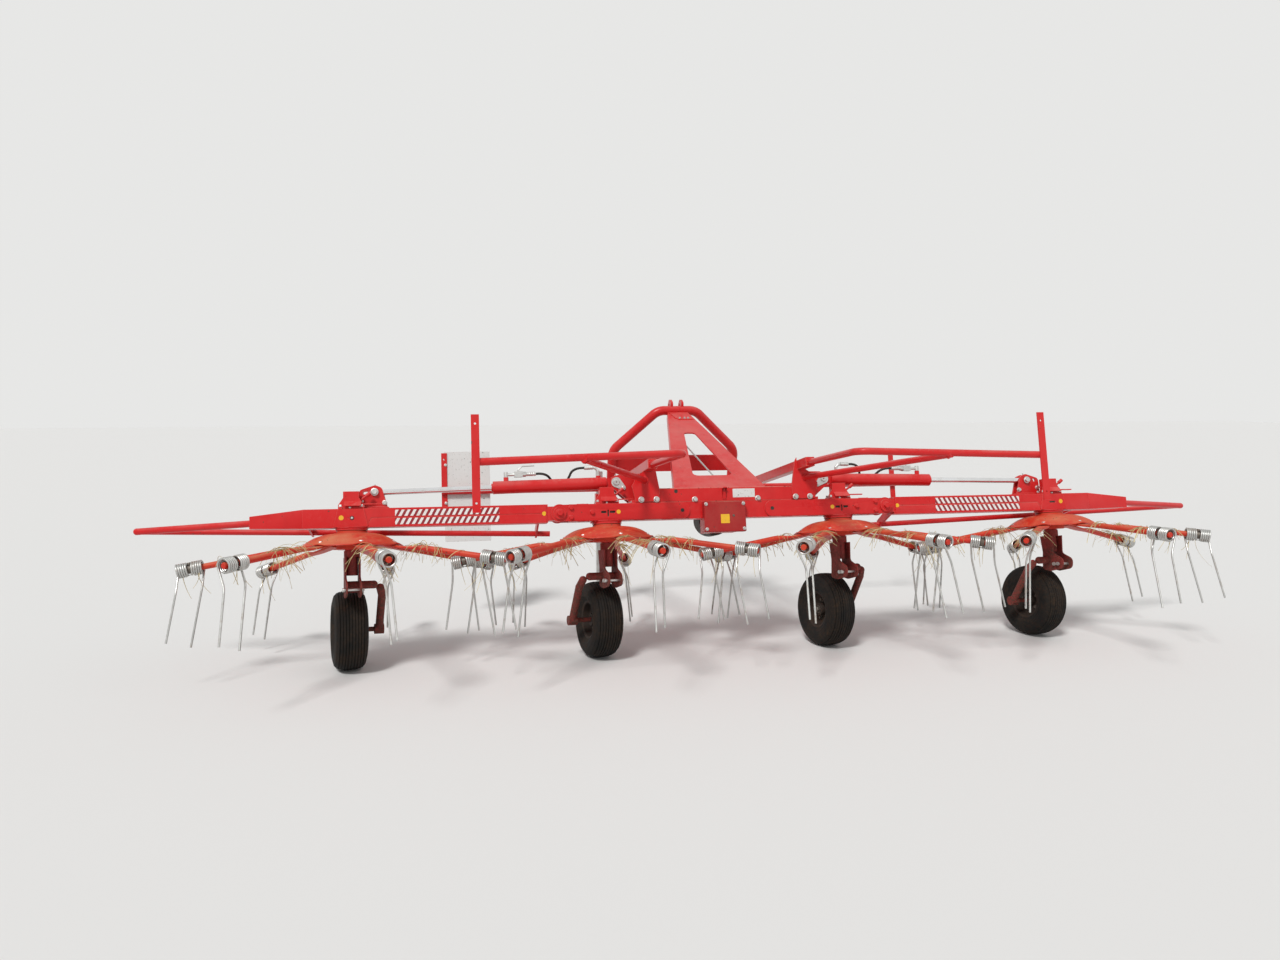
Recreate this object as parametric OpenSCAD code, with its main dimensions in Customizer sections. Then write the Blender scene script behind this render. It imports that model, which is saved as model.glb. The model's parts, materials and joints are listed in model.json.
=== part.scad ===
// Four-rotor mounted hay tedder, parked level on its wheels and its front stand.
// Millimetres. +X is the machine's right, +Y is forward, +Z is up.
// Rotors, beams and guards stand in a work frame that leans forward by the tilt angle.
// In the work frame u runs along the beam, v forward and w along the rotor axes,
// with w = 0 in the rim plane of the discs.

/* [Machine] */
// Distance between neighbouring rotor axes
rotor_pitch = 1300; // [1280:5:1340]
// Forward lean of the rotors, beams and guards, in degrees
tilt = 11.5; // [10:0.25:13]
// Wheels turned to the left of straight ahead, in degrees
steer = 11; // [0:1:15]

/* [Rotors] */
// Radius of the domed disc
disc_r = 250; // [230:5:260]
// Height of the dome above its rim
dome_h = 60; // [45:1:64]
// Thickness of the disc's sheet
disc_t = 6; // [4:0.5:8]
// Number of tine arms on a rotor
arm_count = 7; // [7:1:7]
// Radius of an arm's tube
arm_r = 15; // [13:0.5:17]
// Radius from the rotor axis to an arm's tip
arm_reach = 835; // [825:5:845]
// Downward slope of the arms, in degrees
arm_slope = 10; // [8:0.5:12]
// Turn of the first rotor's arms from the beam, in degrees
arm_phase = 29.5; // [26:0.5:31]

/* [Tines] */
// Radius from the rotor axis to the middle of a double coil
coil_at = 750; // [740:5:755]
// Outer radius of a coil
coil_r = 36; // [33:1:38]
// Wire thickness
wire_d = 10; // [9:0.5:11]
// Turns in each coil
coil_turns = 5; // [4:1:5]
// Half of the gap between the two coils
coil_gap = 14; // [10:1:18]
// Drop of the outer leg below the arm
outer_leg = 340; // [320:5:350]
// Drop of the inner leg below the arm
inner_leg = 385; // [360:5:390]
// Drop of the kink below the arm
kink_drop = 95; // [85:1:105]
// Outward splay of the legs, in degrees
leg_splay = 9; // [7:0.5:11]

/* [Beams] */
// Height of the centre beam's underside above the rim plane
beam_w = 90; // [86:1:94]
// Height of the centre beam
beam_h = 90; // [84:1:94]
// Depth of the centre beam, front to back
beam_d = 100; // [96:1:104]
// Distance of the folding hinges from the middle
hinge_u = 905; // [900:1:915]
// Radius of the hinge pins
hinge_pin_r = 15; // [12:0.5:18]
// Radius of the rounded ends of the hinge plates
hinge_plate_r = 46; // [43:1:48]
// Thickness of the hinge plates
hinge_plate_t = 12; // [10:1:13]
// Distance of a wing beam's outer end from the middle
wing_end = 2180; // [2170:5:2200]
// Distance of the tapered wing end from the middle
taper_end = 2430; // [2400:5:2450]

/* [Cylinders] */
// Distance of the cylinder's base pin from the middle
base_pin_u = 587; // [580:1:592]
// Height of the base pin above the rim plane
base_pin_w = 300; // [296:1:306]
// Distance of the rod pin from the middle
rod_pin_u = 1840; // [1830:1:1850]
// Height of the rod pin above the rim plane
rod_pin_w = 272; // [268:1:280]
// Distance of the cylinder's line in front of the rotor axes
cyl_v = 60; // [58:1:64]
// Barrel radius
barrel_r = 34; // [31:1:36]
// Barrel length from the base pin
barrel_len = 653; // [645:1:660]
// Rod radius
rod_r = 14.5; // [12:0.5:16]
// Radius of the cylinder pins
cyl_pin_r = 12.5; // [10:0.5:14]

/* [Wheels] */
// Tyre radius
tyre_r = 202.5; // [195:0.5:205]
// Tyre width
tyre_w = 165; // [155:1:170]
// Lead of the wheel in front of the turning axis of its leg
wheel_lead = 179; // [176:1:190]
// Depth of the axle below the rim plane
axle_drop = 426; // [422:1:432]
// Rim radius
rim_r = 102; // [98:1:108]
// Axle radius
axle_r = 12.5; // [10:0.5:14]
// Radius of the turning post of a leg
post_r = 27.7; // [25:0.1:28]
// Sideways reach of the wheel arm
arm_side = 150; // [145:1:155]
// Radius of the wheel arm's bar
wheel_arm_r = 20; // [18:1:22]

/* [Headstock] */
// Distance of the bow's tube junction in front of the rotor axes
bow_v = 1300; // [1290:5:1320]
// Backward lean of the bow in the work frame, in degrees
bow_lean = 28.5; // [26:0.5:30]
// Distance of the bow's legs from the middle
bow_u = 414; // [410:1:420]
// Radius of the bow's tube
bow_r = 30; // [27:0.5:32]
// Height of the bow's top above the tube junction
bow_top = 575; // [560:5:590]
// Depth of the lower pins below the tube junction
hitch_drop = 209; // [200:1:215]
// Radius of the lower hitch pins
hitch_pin_r = 14; // [11:0.5:14]
// Length of a lower hitch pin outside its collar
hitch_pin_len = 88; // [80:1:95]
// Radius of the top link's bore
top_bore_r = 12.75; // [9.75:0.25:12.75]
// Radius of the input shaft
stub_r = 17.45; // [17.45:0.1:22.2]

/* [Guards] */
// Distance of the long square tubes from the middle
rail_u = 430; // [425:1:435]
// Width of the long square tubes
rail_size = 50; // [46:1:52]
// Height of the long square tubes above the rim plane
rail_w = 370; // [366:1:376]
// Radius of the round guard tubes
guard_r = 17; // [15:0.5:19]
// Distance of the rear guard rail behind the rotor axes
rear_v = 868; // [860:1:880]
// Distance of the rear guard's upright from the middle
rear_u = 1348; // [1330:1:1360]
// Distance of the front guard rail in front of the rotor axes
front_v = 1047; // [1040:1:1060]
// Distance of the front guard's upright from the middle
front_u = 1500; // [1480:1:1510]
// Distance of the side guard's tip from the middle
tip_u = 3040; // [3020:5:3050]

/* [Stand] */
// Distance of the parking stand left of the middle
stand_x = 500; // [495:1:505]
// Distance of the parking stand in front of the rotor axes
stand_y = 1280; // [1275:1:1285]
// Width of the stand's square tube
stand_size = 40; // [36:1:42]
// Length of the stand's tube
stand_len = 900; // [850:10:950]

/* [Hidden] */
$fn = 48;

red = "firebrick";
zinc = "silver";
black = "dimgray";

// Rotors from left to right: axis u in rotor pitches, turn of the arms, side of the wheel arm
rotors = [[-1.5, arm_phase, 1], [-0.5, -arm_phase, -1], [0.5, arm_phase, 1], [1.5, -arm_phase, -1]];

// Clearances
run_gap = 0.3;
side_gap = 2;

// Heights in the work frame
beam_top = beam_w + beam_h;
hinge_w = beam_w + beam_h / 2;

// Radius of the fixed sleeve that a rotor turns on
sleeve_r = post_r + run_gap + 7;
sleeve_foot = -25;
hub_top = beam_w - 18;
flange_r = 78;

// Tyre section from the tread to the bead: half width as a share of the width, drop as a share of the radius
tyre_shares = [[0, 0], [0.133, 0.002], [0.267, 0.015], [0.376, 0.05], [0.455, 0.119], [0.5, 0.257], [0.479, 0.385]];
tyre_points = [for (p = tyre_shares) [p[0] * tyre_w, tyre_r * (1 - p[1])]];
// Lowest reach of the tyre below its centre, as the leaned and turned axle has it
axle_dip = abs(sin(steer) * sin(tilt));
tyre_reach = max([for (p = tyre_points) p[0] * axle_dip + p[1] * sqrt(1 - axle_dip * axle_dip)]);
// Height of the rim plane at the rotor axes, which puts the tyres on the floor
disc_h = tyre_reach + wheel_lead * cos(steer) * sin(tilt) + axle_drop * cos(tilt);

// Foremost and rearmost points, which centre the machine on the origin
bar_t = 6;
bar_w = 35;
rear_bar_low = 80;
rear_bar_high = 505;
weld = 2;
rear_bar_v = -rear_v - guard_r - bar_t + weld;
lug_r = 38;
bow_y = bow_v * cos(tilt) + rail_w * sin(tilt);
hitch_y = bow_y + hitch_drop * sin(bow_lean - tilt);
front_y = hitch_y + lug_r;
bar_rear_y = rear_bar_v * cos(tilt) + rear_bar_low * sin(tilt);
blade_t = 12;
coil_half = coil_gap + coil_turns * wire_d;
leg_lean = arm_slope + leg_splay;
kink_side = 8;
tip_side = 14;
coil_along = (coil_at - disc_r) / cos(arm_slope);
// Kink and tip of a tine's leg, from the middle of the double coil: along the arm, sideways and across
function kink_of(hand, along) = [along + kink_drop * tan(arm_slope), hand * kink_side, -kink_drop];
function tip_of(hand, along, drop) =
    kink_of(hand, along) + [(drop - kink_drop) * sin(leg_lean), hand * tip_side, -(drop - kink_drop) * cos(leg_lean)];
// Forward place of such a point, on the arm at an angle from the beam
function forward_of(p, angle) =
    let (
        a = coil_along + p[0],
        r = disc_r + a * cos(arm_slope) + p[2] * sin(arm_slope),
        w = -blade_t / 2 - a * sin(arm_slope) + p[2] * cos(arm_slope)
    )
    (r * sin(angle) + p[1] * cos(angle)) * cos(tilt) + w * sin(tilt);
// Rearmost point of a leg's round end
function leg_rear(hand, along, drop, angle) =
    let (
        a = forward_of(kink_of(hand, along), angle),
        b = forward_of(tip_of(hand, along, drop), angle),
        slant = (b - a) / norm(tip_of(hand, along, drop) - kink_of(hand, along))
    )
    b - wire_d / 2 * sqrt(1 - slant * slant);
tine_rear_y = min([
    for (p = rotors, k = [0:arm_count - 1]) let (angle = p[1] + k * 360 / arm_count)
        each [
            leg_rear(p[2], coil_half - wire_d / 2, outer_leg, angle),
            leg_rear(p[2], wire_d / 2 - coil_half, inner_leg, angle)
        ]
]);
rear_y = min(bar_rear_y, tine_rear_y);
machine_y = -(front_y + rear_y) / 2;

// Helpers
function unit(v) = v / norm(v);
function turn(a, b, c) = acos(min(1, max(-1, unit(b - a) * unit(c - b))));
function ring(centre, r, a0, a1, n) = [for (i = [0:n]) centre + r * [cos(a0 + (a1 - a0) * i / n), sin(a0 + (a1 - a0) * i / n)]];
// Corner b of an outline, rounded with radius r by n short sides
function corner(a, b, c, r, n) =
    let (
        d1 = unit(a - b),
        d2 = unit(c - b),
        half = acos(min(1, max(-1, d1 * d2))) / 2,
        centre = b + unit(d1 + d2) * r / sin(half),
        p1 = b + d1 * r / tan(half),
        p2 = b + d2 * r / tan(half),
        a1 = atan2(p1[1] - centre[1], p1[0] - centre[0]),
        a2 = atan2(p2[1] - centre[1], p2[0] - centre[0]),
        sweep = (a2 - a1 + 540) % 360 - 180
    )
    r <= 0 ? [b] : ring(centre, r, a1, a1 + sweep, n);
// Outline with rounded corners: each point is u, w and the corner's radius
function rounded(p, n = 4) = [
    for (i = [0:len(p) - 1])
        let (
            a = p[(i + len(p) - 1) % len(p)],
            b = p[i],
            c = p[(i + 1) % len(p)]
        )
        each corner([a[0], a[1]], [b[0], b[1]], [c[0], c[1]], b[2], n)
];

// Moves its children from the work frame into the machine's place on the floor
module work_frame() translate([0, machine_y, disc_h]) rotate([-tilt, 0, 0]) children();
// Moves its children to rotor i's axis
module at_rotor(i) work_frame() translate([rotors[i][0] * rotor_pitch, 0, 0]) children();
// Mirrors its children for side -1, the left
module on_side(side) mirror([side < 0 ? 1 : 0, 0, 0]) children();
// A block from its lowest to its highest corner
module block(low, high) translate(low) cube(high - low);
// A round bar from p to q
module bar(p, q, r) {
    d = q - p;
    translate(p) rotate([0, acos(d[2] / norm(d)), atan2(d[1], d[0])]) cylinder(r = r, h = norm(d));
}
// A round bend of a tube at corner b
module elbow(a, b, c, r, bend) {
    d = unit(b - a);
    angle = turn(a, b, c);
    axis = unit(cross(d, unit(c - b)));
    inward = cross(axis, d);
    centre = b - d * bend * tan(angle / 2) + inward * bend;
    multmatrix([
        [-inward[0], d[0], axis[0], centre[0]],
        [-inward[1], d[1], axis[1], centre[1]],
        [-inward[2], d[2], axis[2], centre[2]],
        [0, 0, 0, 1]
    ]) rotate_extrude(angle = angle) translate([bend, 0]) circle(r = r);
}
// A round tube along straight runs with a bend at each inner point, into which the runs lap a little
bend_swell = 0.4;
bend_lap = 4;
module bent_tube(p, r, bend) {
    last = len(p) - 1;
    cut = [for (i = [0:last]) i == 0 || i == last ? 0 : bend * tan(turn(p[i - 1], p[i], p[i + 1]) / 2) - bend_lap];
    for (i = [0:last - 1]) {
        d = unit(p[i + 1] - p[i]);
        bar(p[i] + d * cut[i], p[i + 1] - d * cut[i + 1], r);
    }
    for (i = [1:last - 1]) elbow(p[i - 1], p[i], p[i + 1], r + bend_swell, bend);
}
// A bar through given points, rounded at each inner point by a ball
module jointed_bar(p, r) {
    for (i = [0:len(p) - 2]) bar(p[i], p[i + 1], r);
    for (i = [1:len(p) - 2]) translate(p[i]) sphere(r = r + bend_swell);
}
// A plate whose outline lies in u and w, from v0 to v1
module upright_plate(outline, v0, v1)
    translate([0, v1, 0]) rotate([90, 0, 0]) linear_extrude(v1 - v0) polygon(outline);
// A plate whose outline lies in v and w, from u0 to u1
module cross_plate(outline, u0, u1)
    translate([u0, 0, 0]) rotate([90, 0, 90]) linear_extrude(u1 - u0) polygon(outline);
// A round part along v, from v0 to v1, at u and w
module pin_v(u, w, r, v0, v1) translate([u, v1, w]) rotate([90, 0, 0]) cylinder(r = r, h = v1 - v0);

// Centre beam
half_d = beam_d / 2;
beam_end = hinge_u - 50;
plate_start = 210;
module centre_beam() {
    color(red) work_frame() {
        difference() {
            union() {
                block([-beam_end, -half_d, beam_w], [beam_end, half_d, beam_top]);
                for (side = [-1, 1]) on_side(side) hinge_plate(-half_d - hinge_plate_t, -half_d);
            }
            for (side = [-1, 1]) translate([side * rotor_pitch / 2, 0, 0]) beam_slots();
        }
        for (side = [-1, 1]) on_side(side) {
            hinge_plate(half_d, half_d + hinge_plate_t);
            pin_v(hinge_u, hinge_w, hinge_pin_r, -half_d - hinge_plate_t, half_d + hinge_plate_t);
            pin_v(hinge_u, hinge_w, 33, -half_d - hinge_plate_t - 14, -half_d - hinge_plate_t);
            pin_v(hinge_u, hinge_w, 33, half_d + hinge_plate_t, half_d + hinge_plate_t + 14);
        }
    }
}
// Cut-outs in the rear face over an inner rotor: two short slots beside an upright slit
slot_in = 9;
slot_out = 38;
slot_half = 6;
slit_half = 4;
slit_drop = 24;
slot_depth = 8;
module beam_slots() {
    v0 = -half_d - hinge_plate_t - 1;
    v1 = -half_d - hinge_plate_t + slot_depth;
    for (side = [-1, 1]) on_side(side) upright_plate(rounded([
        [slot_in, hinge_w - slot_half, 3], [slot_out, hinge_w - slot_half, 5.5],
        [slot_out, hinge_w + slot_half, 5.5], [slot_in, hinge_w + slot_half, 3]
    ]), v0, v1);
    upright_plate(rounded([
        [-slit_half, hinge_w - slit_drop, 3.5], [slit_half, hinge_w - slit_drop, 3.5],
        [slit_half, hinge_w + 2 * slot_half, 3.5], [-slit_half, hinge_w + 2 * slot_half, 3.5]
    ]), v0, v1);
}
// Reinforcing plate that ends in the rounded cheek of the hinge
module hinge_plate(v0, v1) {
    low = hinge_w - hinge_plate_r + 3;
    high = hinge_w + hinge_plate_r - 3;
    upright_plate(rounded([
        [plate_start, low, 40], [hinge_u, low, 0], [hinge_u, high, 0], [plate_start, high, 40]
    ]), v0, v1);
    pin_v(hinge_u, hinge_w, hinge_plate_r, v0, v1);
}

// Upper channel, bolted on top of the beam
channel_u = 400;
channel_h = 76;
channel_d = 46;
module upper_channel() {
    color(red) work_frame() difference() {
        block([-channel_u, -channel_d, beam_top], [channel_u, channel_d, beam_top + channel_h]);
        block([-channel_u - 1, -channel_d + 8, beam_top + 8], [channel_u + 1, channel_d + 1, beam_top + channel_h - 8]);
    }
}

// Gearbox under and in front of the beam, with the input flange
gearbox_u = 92;
gearbox_foot = 20;
gearbox_front = 190;
shaft_w = 100;
module gearbox() {
    color(red) work_frame() {
        block([-gearbox_u, -half_d, gearbox_foot], [gearbox_u, half_d, beam_w]);
        block([-gearbox_u, half_d, gearbox_foot], [gearbox_u, gearbox_front, beam_top]);
        difference() {
            pin_v(0, shaft_w, 62, gearbox_front, gearbox_front + 30);
            pin_v(0, shaft_w, stub_r + 12, gearbox_front + 4, gearbox_front + 31);
        }
    }
}
cover_left = -140;
cover_right = 90;
cover_back = 95;
module gearbox_cover() {
    color("darkred") work_frame()
        block([cover_left, -cover_back, 12], [cover_right, -half_d, beam_top - 4]);
}
// Bell guard round the input shaft
guard_len = 130;
module shaft_guard() {
    color(black) work_frame() difference() {
        pin_v(0, shaft_w, 90, gearbox_front + 30, gearbox_front + 30 + guard_len);
        pin_v(0, shaft_w, 84, gearbox_front + 36, gearbox_front + 31 + guard_len);
        pin_v(0, shaft_w, 50, gearbox_front + 29, gearbox_front + 37);
    }
}
module input_shaft() {
    color(zinc) work_frame() {
        pin_v(0, shaft_w, stub_r, gearbox_front + 4 + run_gap, gearbox_front + 120);
        pin_v(0, shaft_w, stub_r + 10, gearbox_front + 4 + run_gap, gearbox_front + 34);
    }
}

// Sheet tower from the channel up to the top of the bow
tower_base_u = 265;
tower_top_u = 62;
tower_base = [50, beam_top + channel_h];
tower_top = [bow_v - bow_top * sin(bow_lean), rail_w + bow_top * cos(bow_lean)];
tower_len = norm(tower_top - tower_base);
tower_rise = atan2(tower_top[1] - tower_base[1], tower_top[0] - tower_base[0]);
tower_flange = 60;
tower_t = 8;
module tower() {
    color(red) work_frame() translate([0, tower_base[0], tower_base[1]]) rotate([tower_rise, 0, 0]) difference() {
        tower_shell(0, 0, tower_flange);
        tower_shell(tower_t, -tower_t, tower_flange + 1);
        translate([-100, tower_len, 0]) rotate([0, 90, 0]) cylinder(r = bow_r + bend_swell + 0.1, h = 200);
        translate([0, 0, -tower_t - 1]) linear_extrude(tower_t + 2) polygon(rounded([
            [-118, tower_len * 0.15, 30], [118, tower_len * 0.15, 30],
            [34, tower_len * 0.68, 24], [-34, tower_len * 0.68, 24]
        ]));
        tower_foot_cut();
    }
}
// A tapered block with its top at height top and its sides drawn in by inset
module tower_shell(inset, top, depth)
    translate([0, 0, -depth]) linear_extrude(depth + top) polygon([
        [-tower_base_u + inset, -inset * 2], [tower_base_u - inset, -inset * 2],
        [tower_top_u - inset, tower_len + inset * 2], [-tower_top_u + inset, tower_len + inset * 2]
    ]);
// Trims the tower's flanges level with the channel's top
module tower_foot_cut()
    rotate([-tower_rise, 0, 0]) translate([-400, -200, -300]) cube([800, 400, 300]);

// Bow of the headstock with its cross plate, top link lugs and lower pins
module bow_frame() work_frame() translate([0, bow_v, rail_w]) rotate([bow_lean, 0, 0]) children();
lug_t = 16;
lug_gap = 54;
cross_low = 150;
cross_high = 262;
top_pin_h = bow_top + 18;
top_pin_v = -lug_r - bow_r;
shoulder_h = 300;
collar_t = 10;
module hitch_bow() {
    color(red) bow_frame() {
        bent_tube([
            [-bow_u, 0, -hitch_drop], [-bow_u, 0, shoulder_h], [-125, 0, bow_top],
            [125, 0, bow_top], [bow_u, 0, shoulder_h], [bow_u, 0, -hitch_drop]
        ], bow_r, 110);
        block([-bow_u, -5, cross_low], [bow_u, 5, cross_high]);
        for (side = [-1, 1]) on_side(side) {
            top_lug();
            lower_pin();
        }
    }
}
module top_lug()
    difference() {
        translate([lug_gap / 2, 0, 0]) rotate([90, 0, 90]) linear_extrude(lug_t) polygon(rounded([
            [-5, bow_top - 70, 12], [40, bow_top - 60, 12], [85, bow_top + 8, 30], [60, bow_top + 62, 30],
            [-5, bow_top + 55, 20]
        ]));
        translate([lug_gap / 2 - 1, 50, bow_top + 18]) rotate([0, 90, 0]) cylinder(r = top_bore_r, h = lug_t + 2);
    }
module lower_pin() {
    translate([bow_u - 40, 0, -hitch_drop]) rotate([0, 90, 0]) cylinder(r = lug_r, h = 40 + bow_r + collar_t);
    translate([bow_u, 0, -hitch_drop]) rotate([0, 90, 0]) cylinder(r = hitch_pin_r, h = bow_r + collar_t + hitch_pin_len);
}

// Long square tubes from the rear guard to the bow
rail_back = -196;
half_rail = rail_size / 2;
module rail(side) {
    color(red) work_frame() on_side(side) difference() {
        block([rail_u - half_rail, rail_back, rail_w - half_rail], [rail_u + half_rail, bow_v, rail_w + half_rail]);
        translate([0, bow_v, rail_w]) rotate([bow_lean, 0, 0])
            translate([bow_u, 0, -200]) cylinder(r = bow_r + 0.02, h = 400);
    }
}

// Rear guard: round tube back from the square tube, a rail out to the side and a flat upright
bend_u = 412;
brace_foot = [440, -half_d + 8, 300];
rail_at = [880, -rear_v, 308];
module rear_guard(side) {
    color(red) work_frame() on_side(side) {
        difference() {
            bent_tube([
                [rail_u, rail_back + 5, rail_w - 4], [bend_u, -rear_v + 20, 332], [rear_u + bar_w / 2, -rear_v, 300]
            ], guard_r, 60);
            block([rail_u - 40, rail_back, rail_w - 40], [rail_u + 40, rail_back + 40, rail_w + 40]);
        }
        difference() {
            bar(brace_foot, rail_at, guard_r - 1);
            block([brace_foot[0] - 60, -spire_back, brace_foot[2] - 60], [brace_foot[0] + 60, half_d, brace_foot[2] + 60]);
        }
        upright([rear_u, rear_bar_v, rear_bar_low], rear_bar_high, 1);
    }
}
// Flat upright with small holes, welded behind or before its rail
module upright(foot, high, side)
    difference() {
        block([foot[0] - bar_w / 2, foot[1], foot[2]], [foot[0] + bar_w / 2, foot[1] + bar_t, high]);
        for (w = [foot[2] + 40, high - 40]) pin_v(foot[0], w, 5, foot[1] - 1, foot[1] + bar_t + 1);
    }

// Front guard: a rail from the square tube out to a flat upright
front_bar_low = 225;
front_bar_high = 615;
front_bar_v = front_v + guard_r - weld;
module front_guard(side) {
    color(red) work_frame() on_side(side) {
        bar([rail_u + half_rail, front_v, rail_w], [front_u + bar_w / 2, front_v, rail_w], guard_r);
        upright([front_u, front_bar_v, front_bar_low], front_bar_high, 1);
    }
}
panel_w = 282;
panel_h = 564;
panel_t = 3;
module warning_panel() {
    color("gainsboro") work_frame()
        block([-front_u, front_bar_v + bar_t, 60], [-front_u + panel_w, front_bar_v + bar_t + panel_t, 60 + panel_h]);
}

// Bracket that carries a cylinder's base pin, the square tube and the brace
bracket_gap = 22;
bracket_t = 12;
module cylinder_bracket(side) {
    color(red) work_frame() on_side(side) {
        block([channel_u + 4, -half_d, beam_top], [520, cyl_v + bracket_gap + bracket_t, beam_top + 14]);
        for (v = [cyl_v - bracket_gap - bracket_t, cyl_v + bracket_gap])
            upright_plate(rounded([
                [channel_u + 40, beam_top + 14, 0], [520, beam_top + 14, 0],
                [base_pin_u + 28, base_pin_w - 25, 24], [base_pin_u + 30, base_pin_w + 28, 26],
                [base_pin_u - 20, base_pin_w + 42, 20], [channel_u + 40, base_pin_w + 45, 0]
            ]), v, v + bracket_t);
        pin_v(base_pin_u, base_pin_w, cyl_pin_r, cyl_v - bracket_gap - bracket_t - 8, cyl_v + bracket_gap + bracket_t + 8);
        spire_plate();
        cross_plate([
            [-half_d + bracket_t, beam_top + 14], [cyl_v - bracket_gap - bracket_t, beam_top + 14],
            [cyl_v - bracket_gap - bracket_t, rail_w - half_rail], [-half_d, rail_w - half_rail]
        ], rail_u - 4, rail_u + 8);
    }
}

// Rear plate of the bracket, bolted on the channel, with a horn up the inner side of the square tube
horn_w = 44;
horn_u = 12;
spire_u = 30;
spire_foot = 6;
spire_t = 12;
spire_back = channel_d + spire_t;
module spire_plate() {
    rail_low = rail_w - half_rail;
    inner = rail_u - half_rail;
    upright_plate(concat(
        [[channel_u - spire_u, beam_top + spire_foot], [channel_u + 100, beam_top + spire_foot]],
        ring([channel_u + 160, rail_low - 30], 60, 227, 180, 4),
        [
            [rail_u + half_rail, rail_low], [inner, rail_low], [inner, rail_low + rail_size + 16],
            [inner - horn_u, rail_low + horn_w], [channel_u - spire_u, beam_top + channel_h]
        ]
    ), -spire_back, -channel_d);
}

// Box and levers that lock the turn of a leg, on top of the beam over a rotor
lock_foot = 62;
lock_half = 38;
lock_h = 88;
lock_t = 8;
module turn_lock(i) {
    beam_level = abs(rotors[i][0]) > 1 ? hinge_w + wing_h / 2 : beam_top;
    color(red) at_rotor(i) translate([0, 0, beam_level]) {
        block([-lock_foot, -45, 0], [lock_foot, 20, 10]);
        difference() {
            block([-lock_half, -38, 10], [lock_half, 14, lock_h]);
            block([-lock_half + lock_t, -38 + lock_t, 9], [lock_half - lock_t, 15, lock_h - lock_t]);
        }
        for (side = [-1, 1]) on_side(side) upright_plate([
            [lock_half, 10], [lock_foot, 10], [lock_foot, 20], [lock_half, 56]
        ], -38, -38 + lock_t);
        bar([lock_half - 4, -10, 38], [lock_half + 34, -10, 66], 6);
        bar([lock_half + 34, -10, 66], [lock_half + 54, -10, 81], 10);
        block([lock_half, -24, 21], [lock_half + 104, -8, 27]);
    }
}

// Fixed gear housing and sleeve under the beam, on which a rotor turns
module gear_housing(i) {
    beam_level = abs(rotors[i][0]) > 1 ? hinge_w - wing_h / 2 : beam_w;
    color(red) at_rotor(i) difference() {
        union() {
            translate([0, 0, hub_top + 2]) cylinder(r = flange_r, h = beam_level - hub_top - 2);
            translate([0, 0, sleeve_foot]) cylinder(r = sleeve_r, h = hub_top + 3 - sleeve_foot);
        }
        translate([0, 0, sleeve_foot - 1]) cylinder(r = post_r + run_gap, h = hub_top - sleeve_foot - 7);
    }
}

// Domed disc with its seven arms
dome_steps = 8;
collar_r = 76;
rim_flange = 11;
dome_out = disc_r - rim_flange;
function dome_w(r) = dome_h * (1 - pow((r - collar_r) / (dome_out - collar_r), 2.3));
arm_root = disc_r - 60;
arm_level = -disc_t - arm_r - 1;
blade_w = 62;
module rotor_disc(i) {
    top = concat(
        [for (k = [0:dome_steps]) let (r = collar_r + (dome_out - collar_r) * k / dome_steps) [r, dome_w(r)]],
        [[disc_r, 0]]
    );
    under = [for (k = [dome_steps + 1:-1:0]) [top[k][0], top[k][1] - disc_t]];
    color("orangered") at_rotor(i) {
        rotate_extrude() polygon(concat(
            [[sleeve_r + run_gap, hub_top], [collar_r, hub_top]], top, under,
            [[collar_r, -20], [sleeve_r + run_gap, -20]]
        ));
        for (k = [0:arm_count - 1]) rotate([0, 0, rotors[i][1] + k * 360 / arm_count]) {
            translate([arm_root, 0, -blade_t - 1]) rotate([0, 0, 0]) linear_extrude(blade_t + 1.5) polygon([
                [-100, -blade_w / 2], [60, -blade_w / 2], [150, -arm_r], [150, arm_r], [60, blade_w / 2], [-100, blade_w / 2]
            ]);
            arm_frame() translate([100 - disc_r, 0, 0]) rotate([0, 90, 0]) cylinder(r = arm_r, h = arm_reach / cos(arm_slope) - 100);
        }
    }
}
// Frame of an arm: along the arm, sideways and across, with its origin at the rim
module arm_frame() translate([disc_r, 0, -blade_t / 2]) rotate([0, arm_slope, 0]) children();

// Double spring tines: one turned outline for both coils and their clamp, and two kinked legs
// One side of the turned outline, from the clamp out to the coil's end
coil_outline = [
    for (k = [0:coil_turns - 1]) let (a = coil_gap + k * wire_d)
        each [[coil_r - 2.5, a], [coil_r, a + 0.3 * wire_d], [coil_r, a + 0.7 * wire_d], [coil_r - 2.5, a + wire_d]]
];
coil_bore = coil_r - wire_d;
clamp_r = arm_r + 11;
tine_s = coil_r - wire_d / 2;
module tines(i) {
    color(zinc) at_rotor(i) for (k = [0:arm_count - 1])
        rotate([0, 0, rotors[i][1] + k * 360 / arm_count]) arm_frame()
            translate([coil_along, 0, 0]) double_tine(rotors[i][2]);
}
module double_tine(hand) {
    rotate([0, 90, 0]) rotate_extrude() polygon(concat(
        [[arm_r + run_gap, -coil_gap], [coil_bore, -coil_gap], [coil_bore, -coil_half]],
        [for (k = [len(coil_outline) - 1:-1:0]) [coil_outline[k][0], -coil_outline[k][1]]],
        [[clamp_r + 2, -coil_gap], [clamp_r + 2, coil_gap]],
        coil_outline,
        [[coil_bore, coil_half], [coil_bore, coil_gap], [arm_r + run_gap, coil_gap]]
    ));
    tine_leg(hand, coil_half - wire_d / 2, outer_leg);
    tine_leg(hand, -coil_half + wire_d / 2, inner_leg);
}
// A leg that leaves the side of its coil, kinks under the arm and runs down with a splay
module tine_leg(hand, along, drop) {
    start = [along, -hand * tine_s, 0];
    kink = kink_of(hand, along);
    tip = tip_of(hand, along, drop);
    bar(start, kink, wire_d / 2);
    translate(kink) sphere(r = wire_d / 2 + 0.4);
    bar(kink, tip, wire_d / 2);
}

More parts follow.
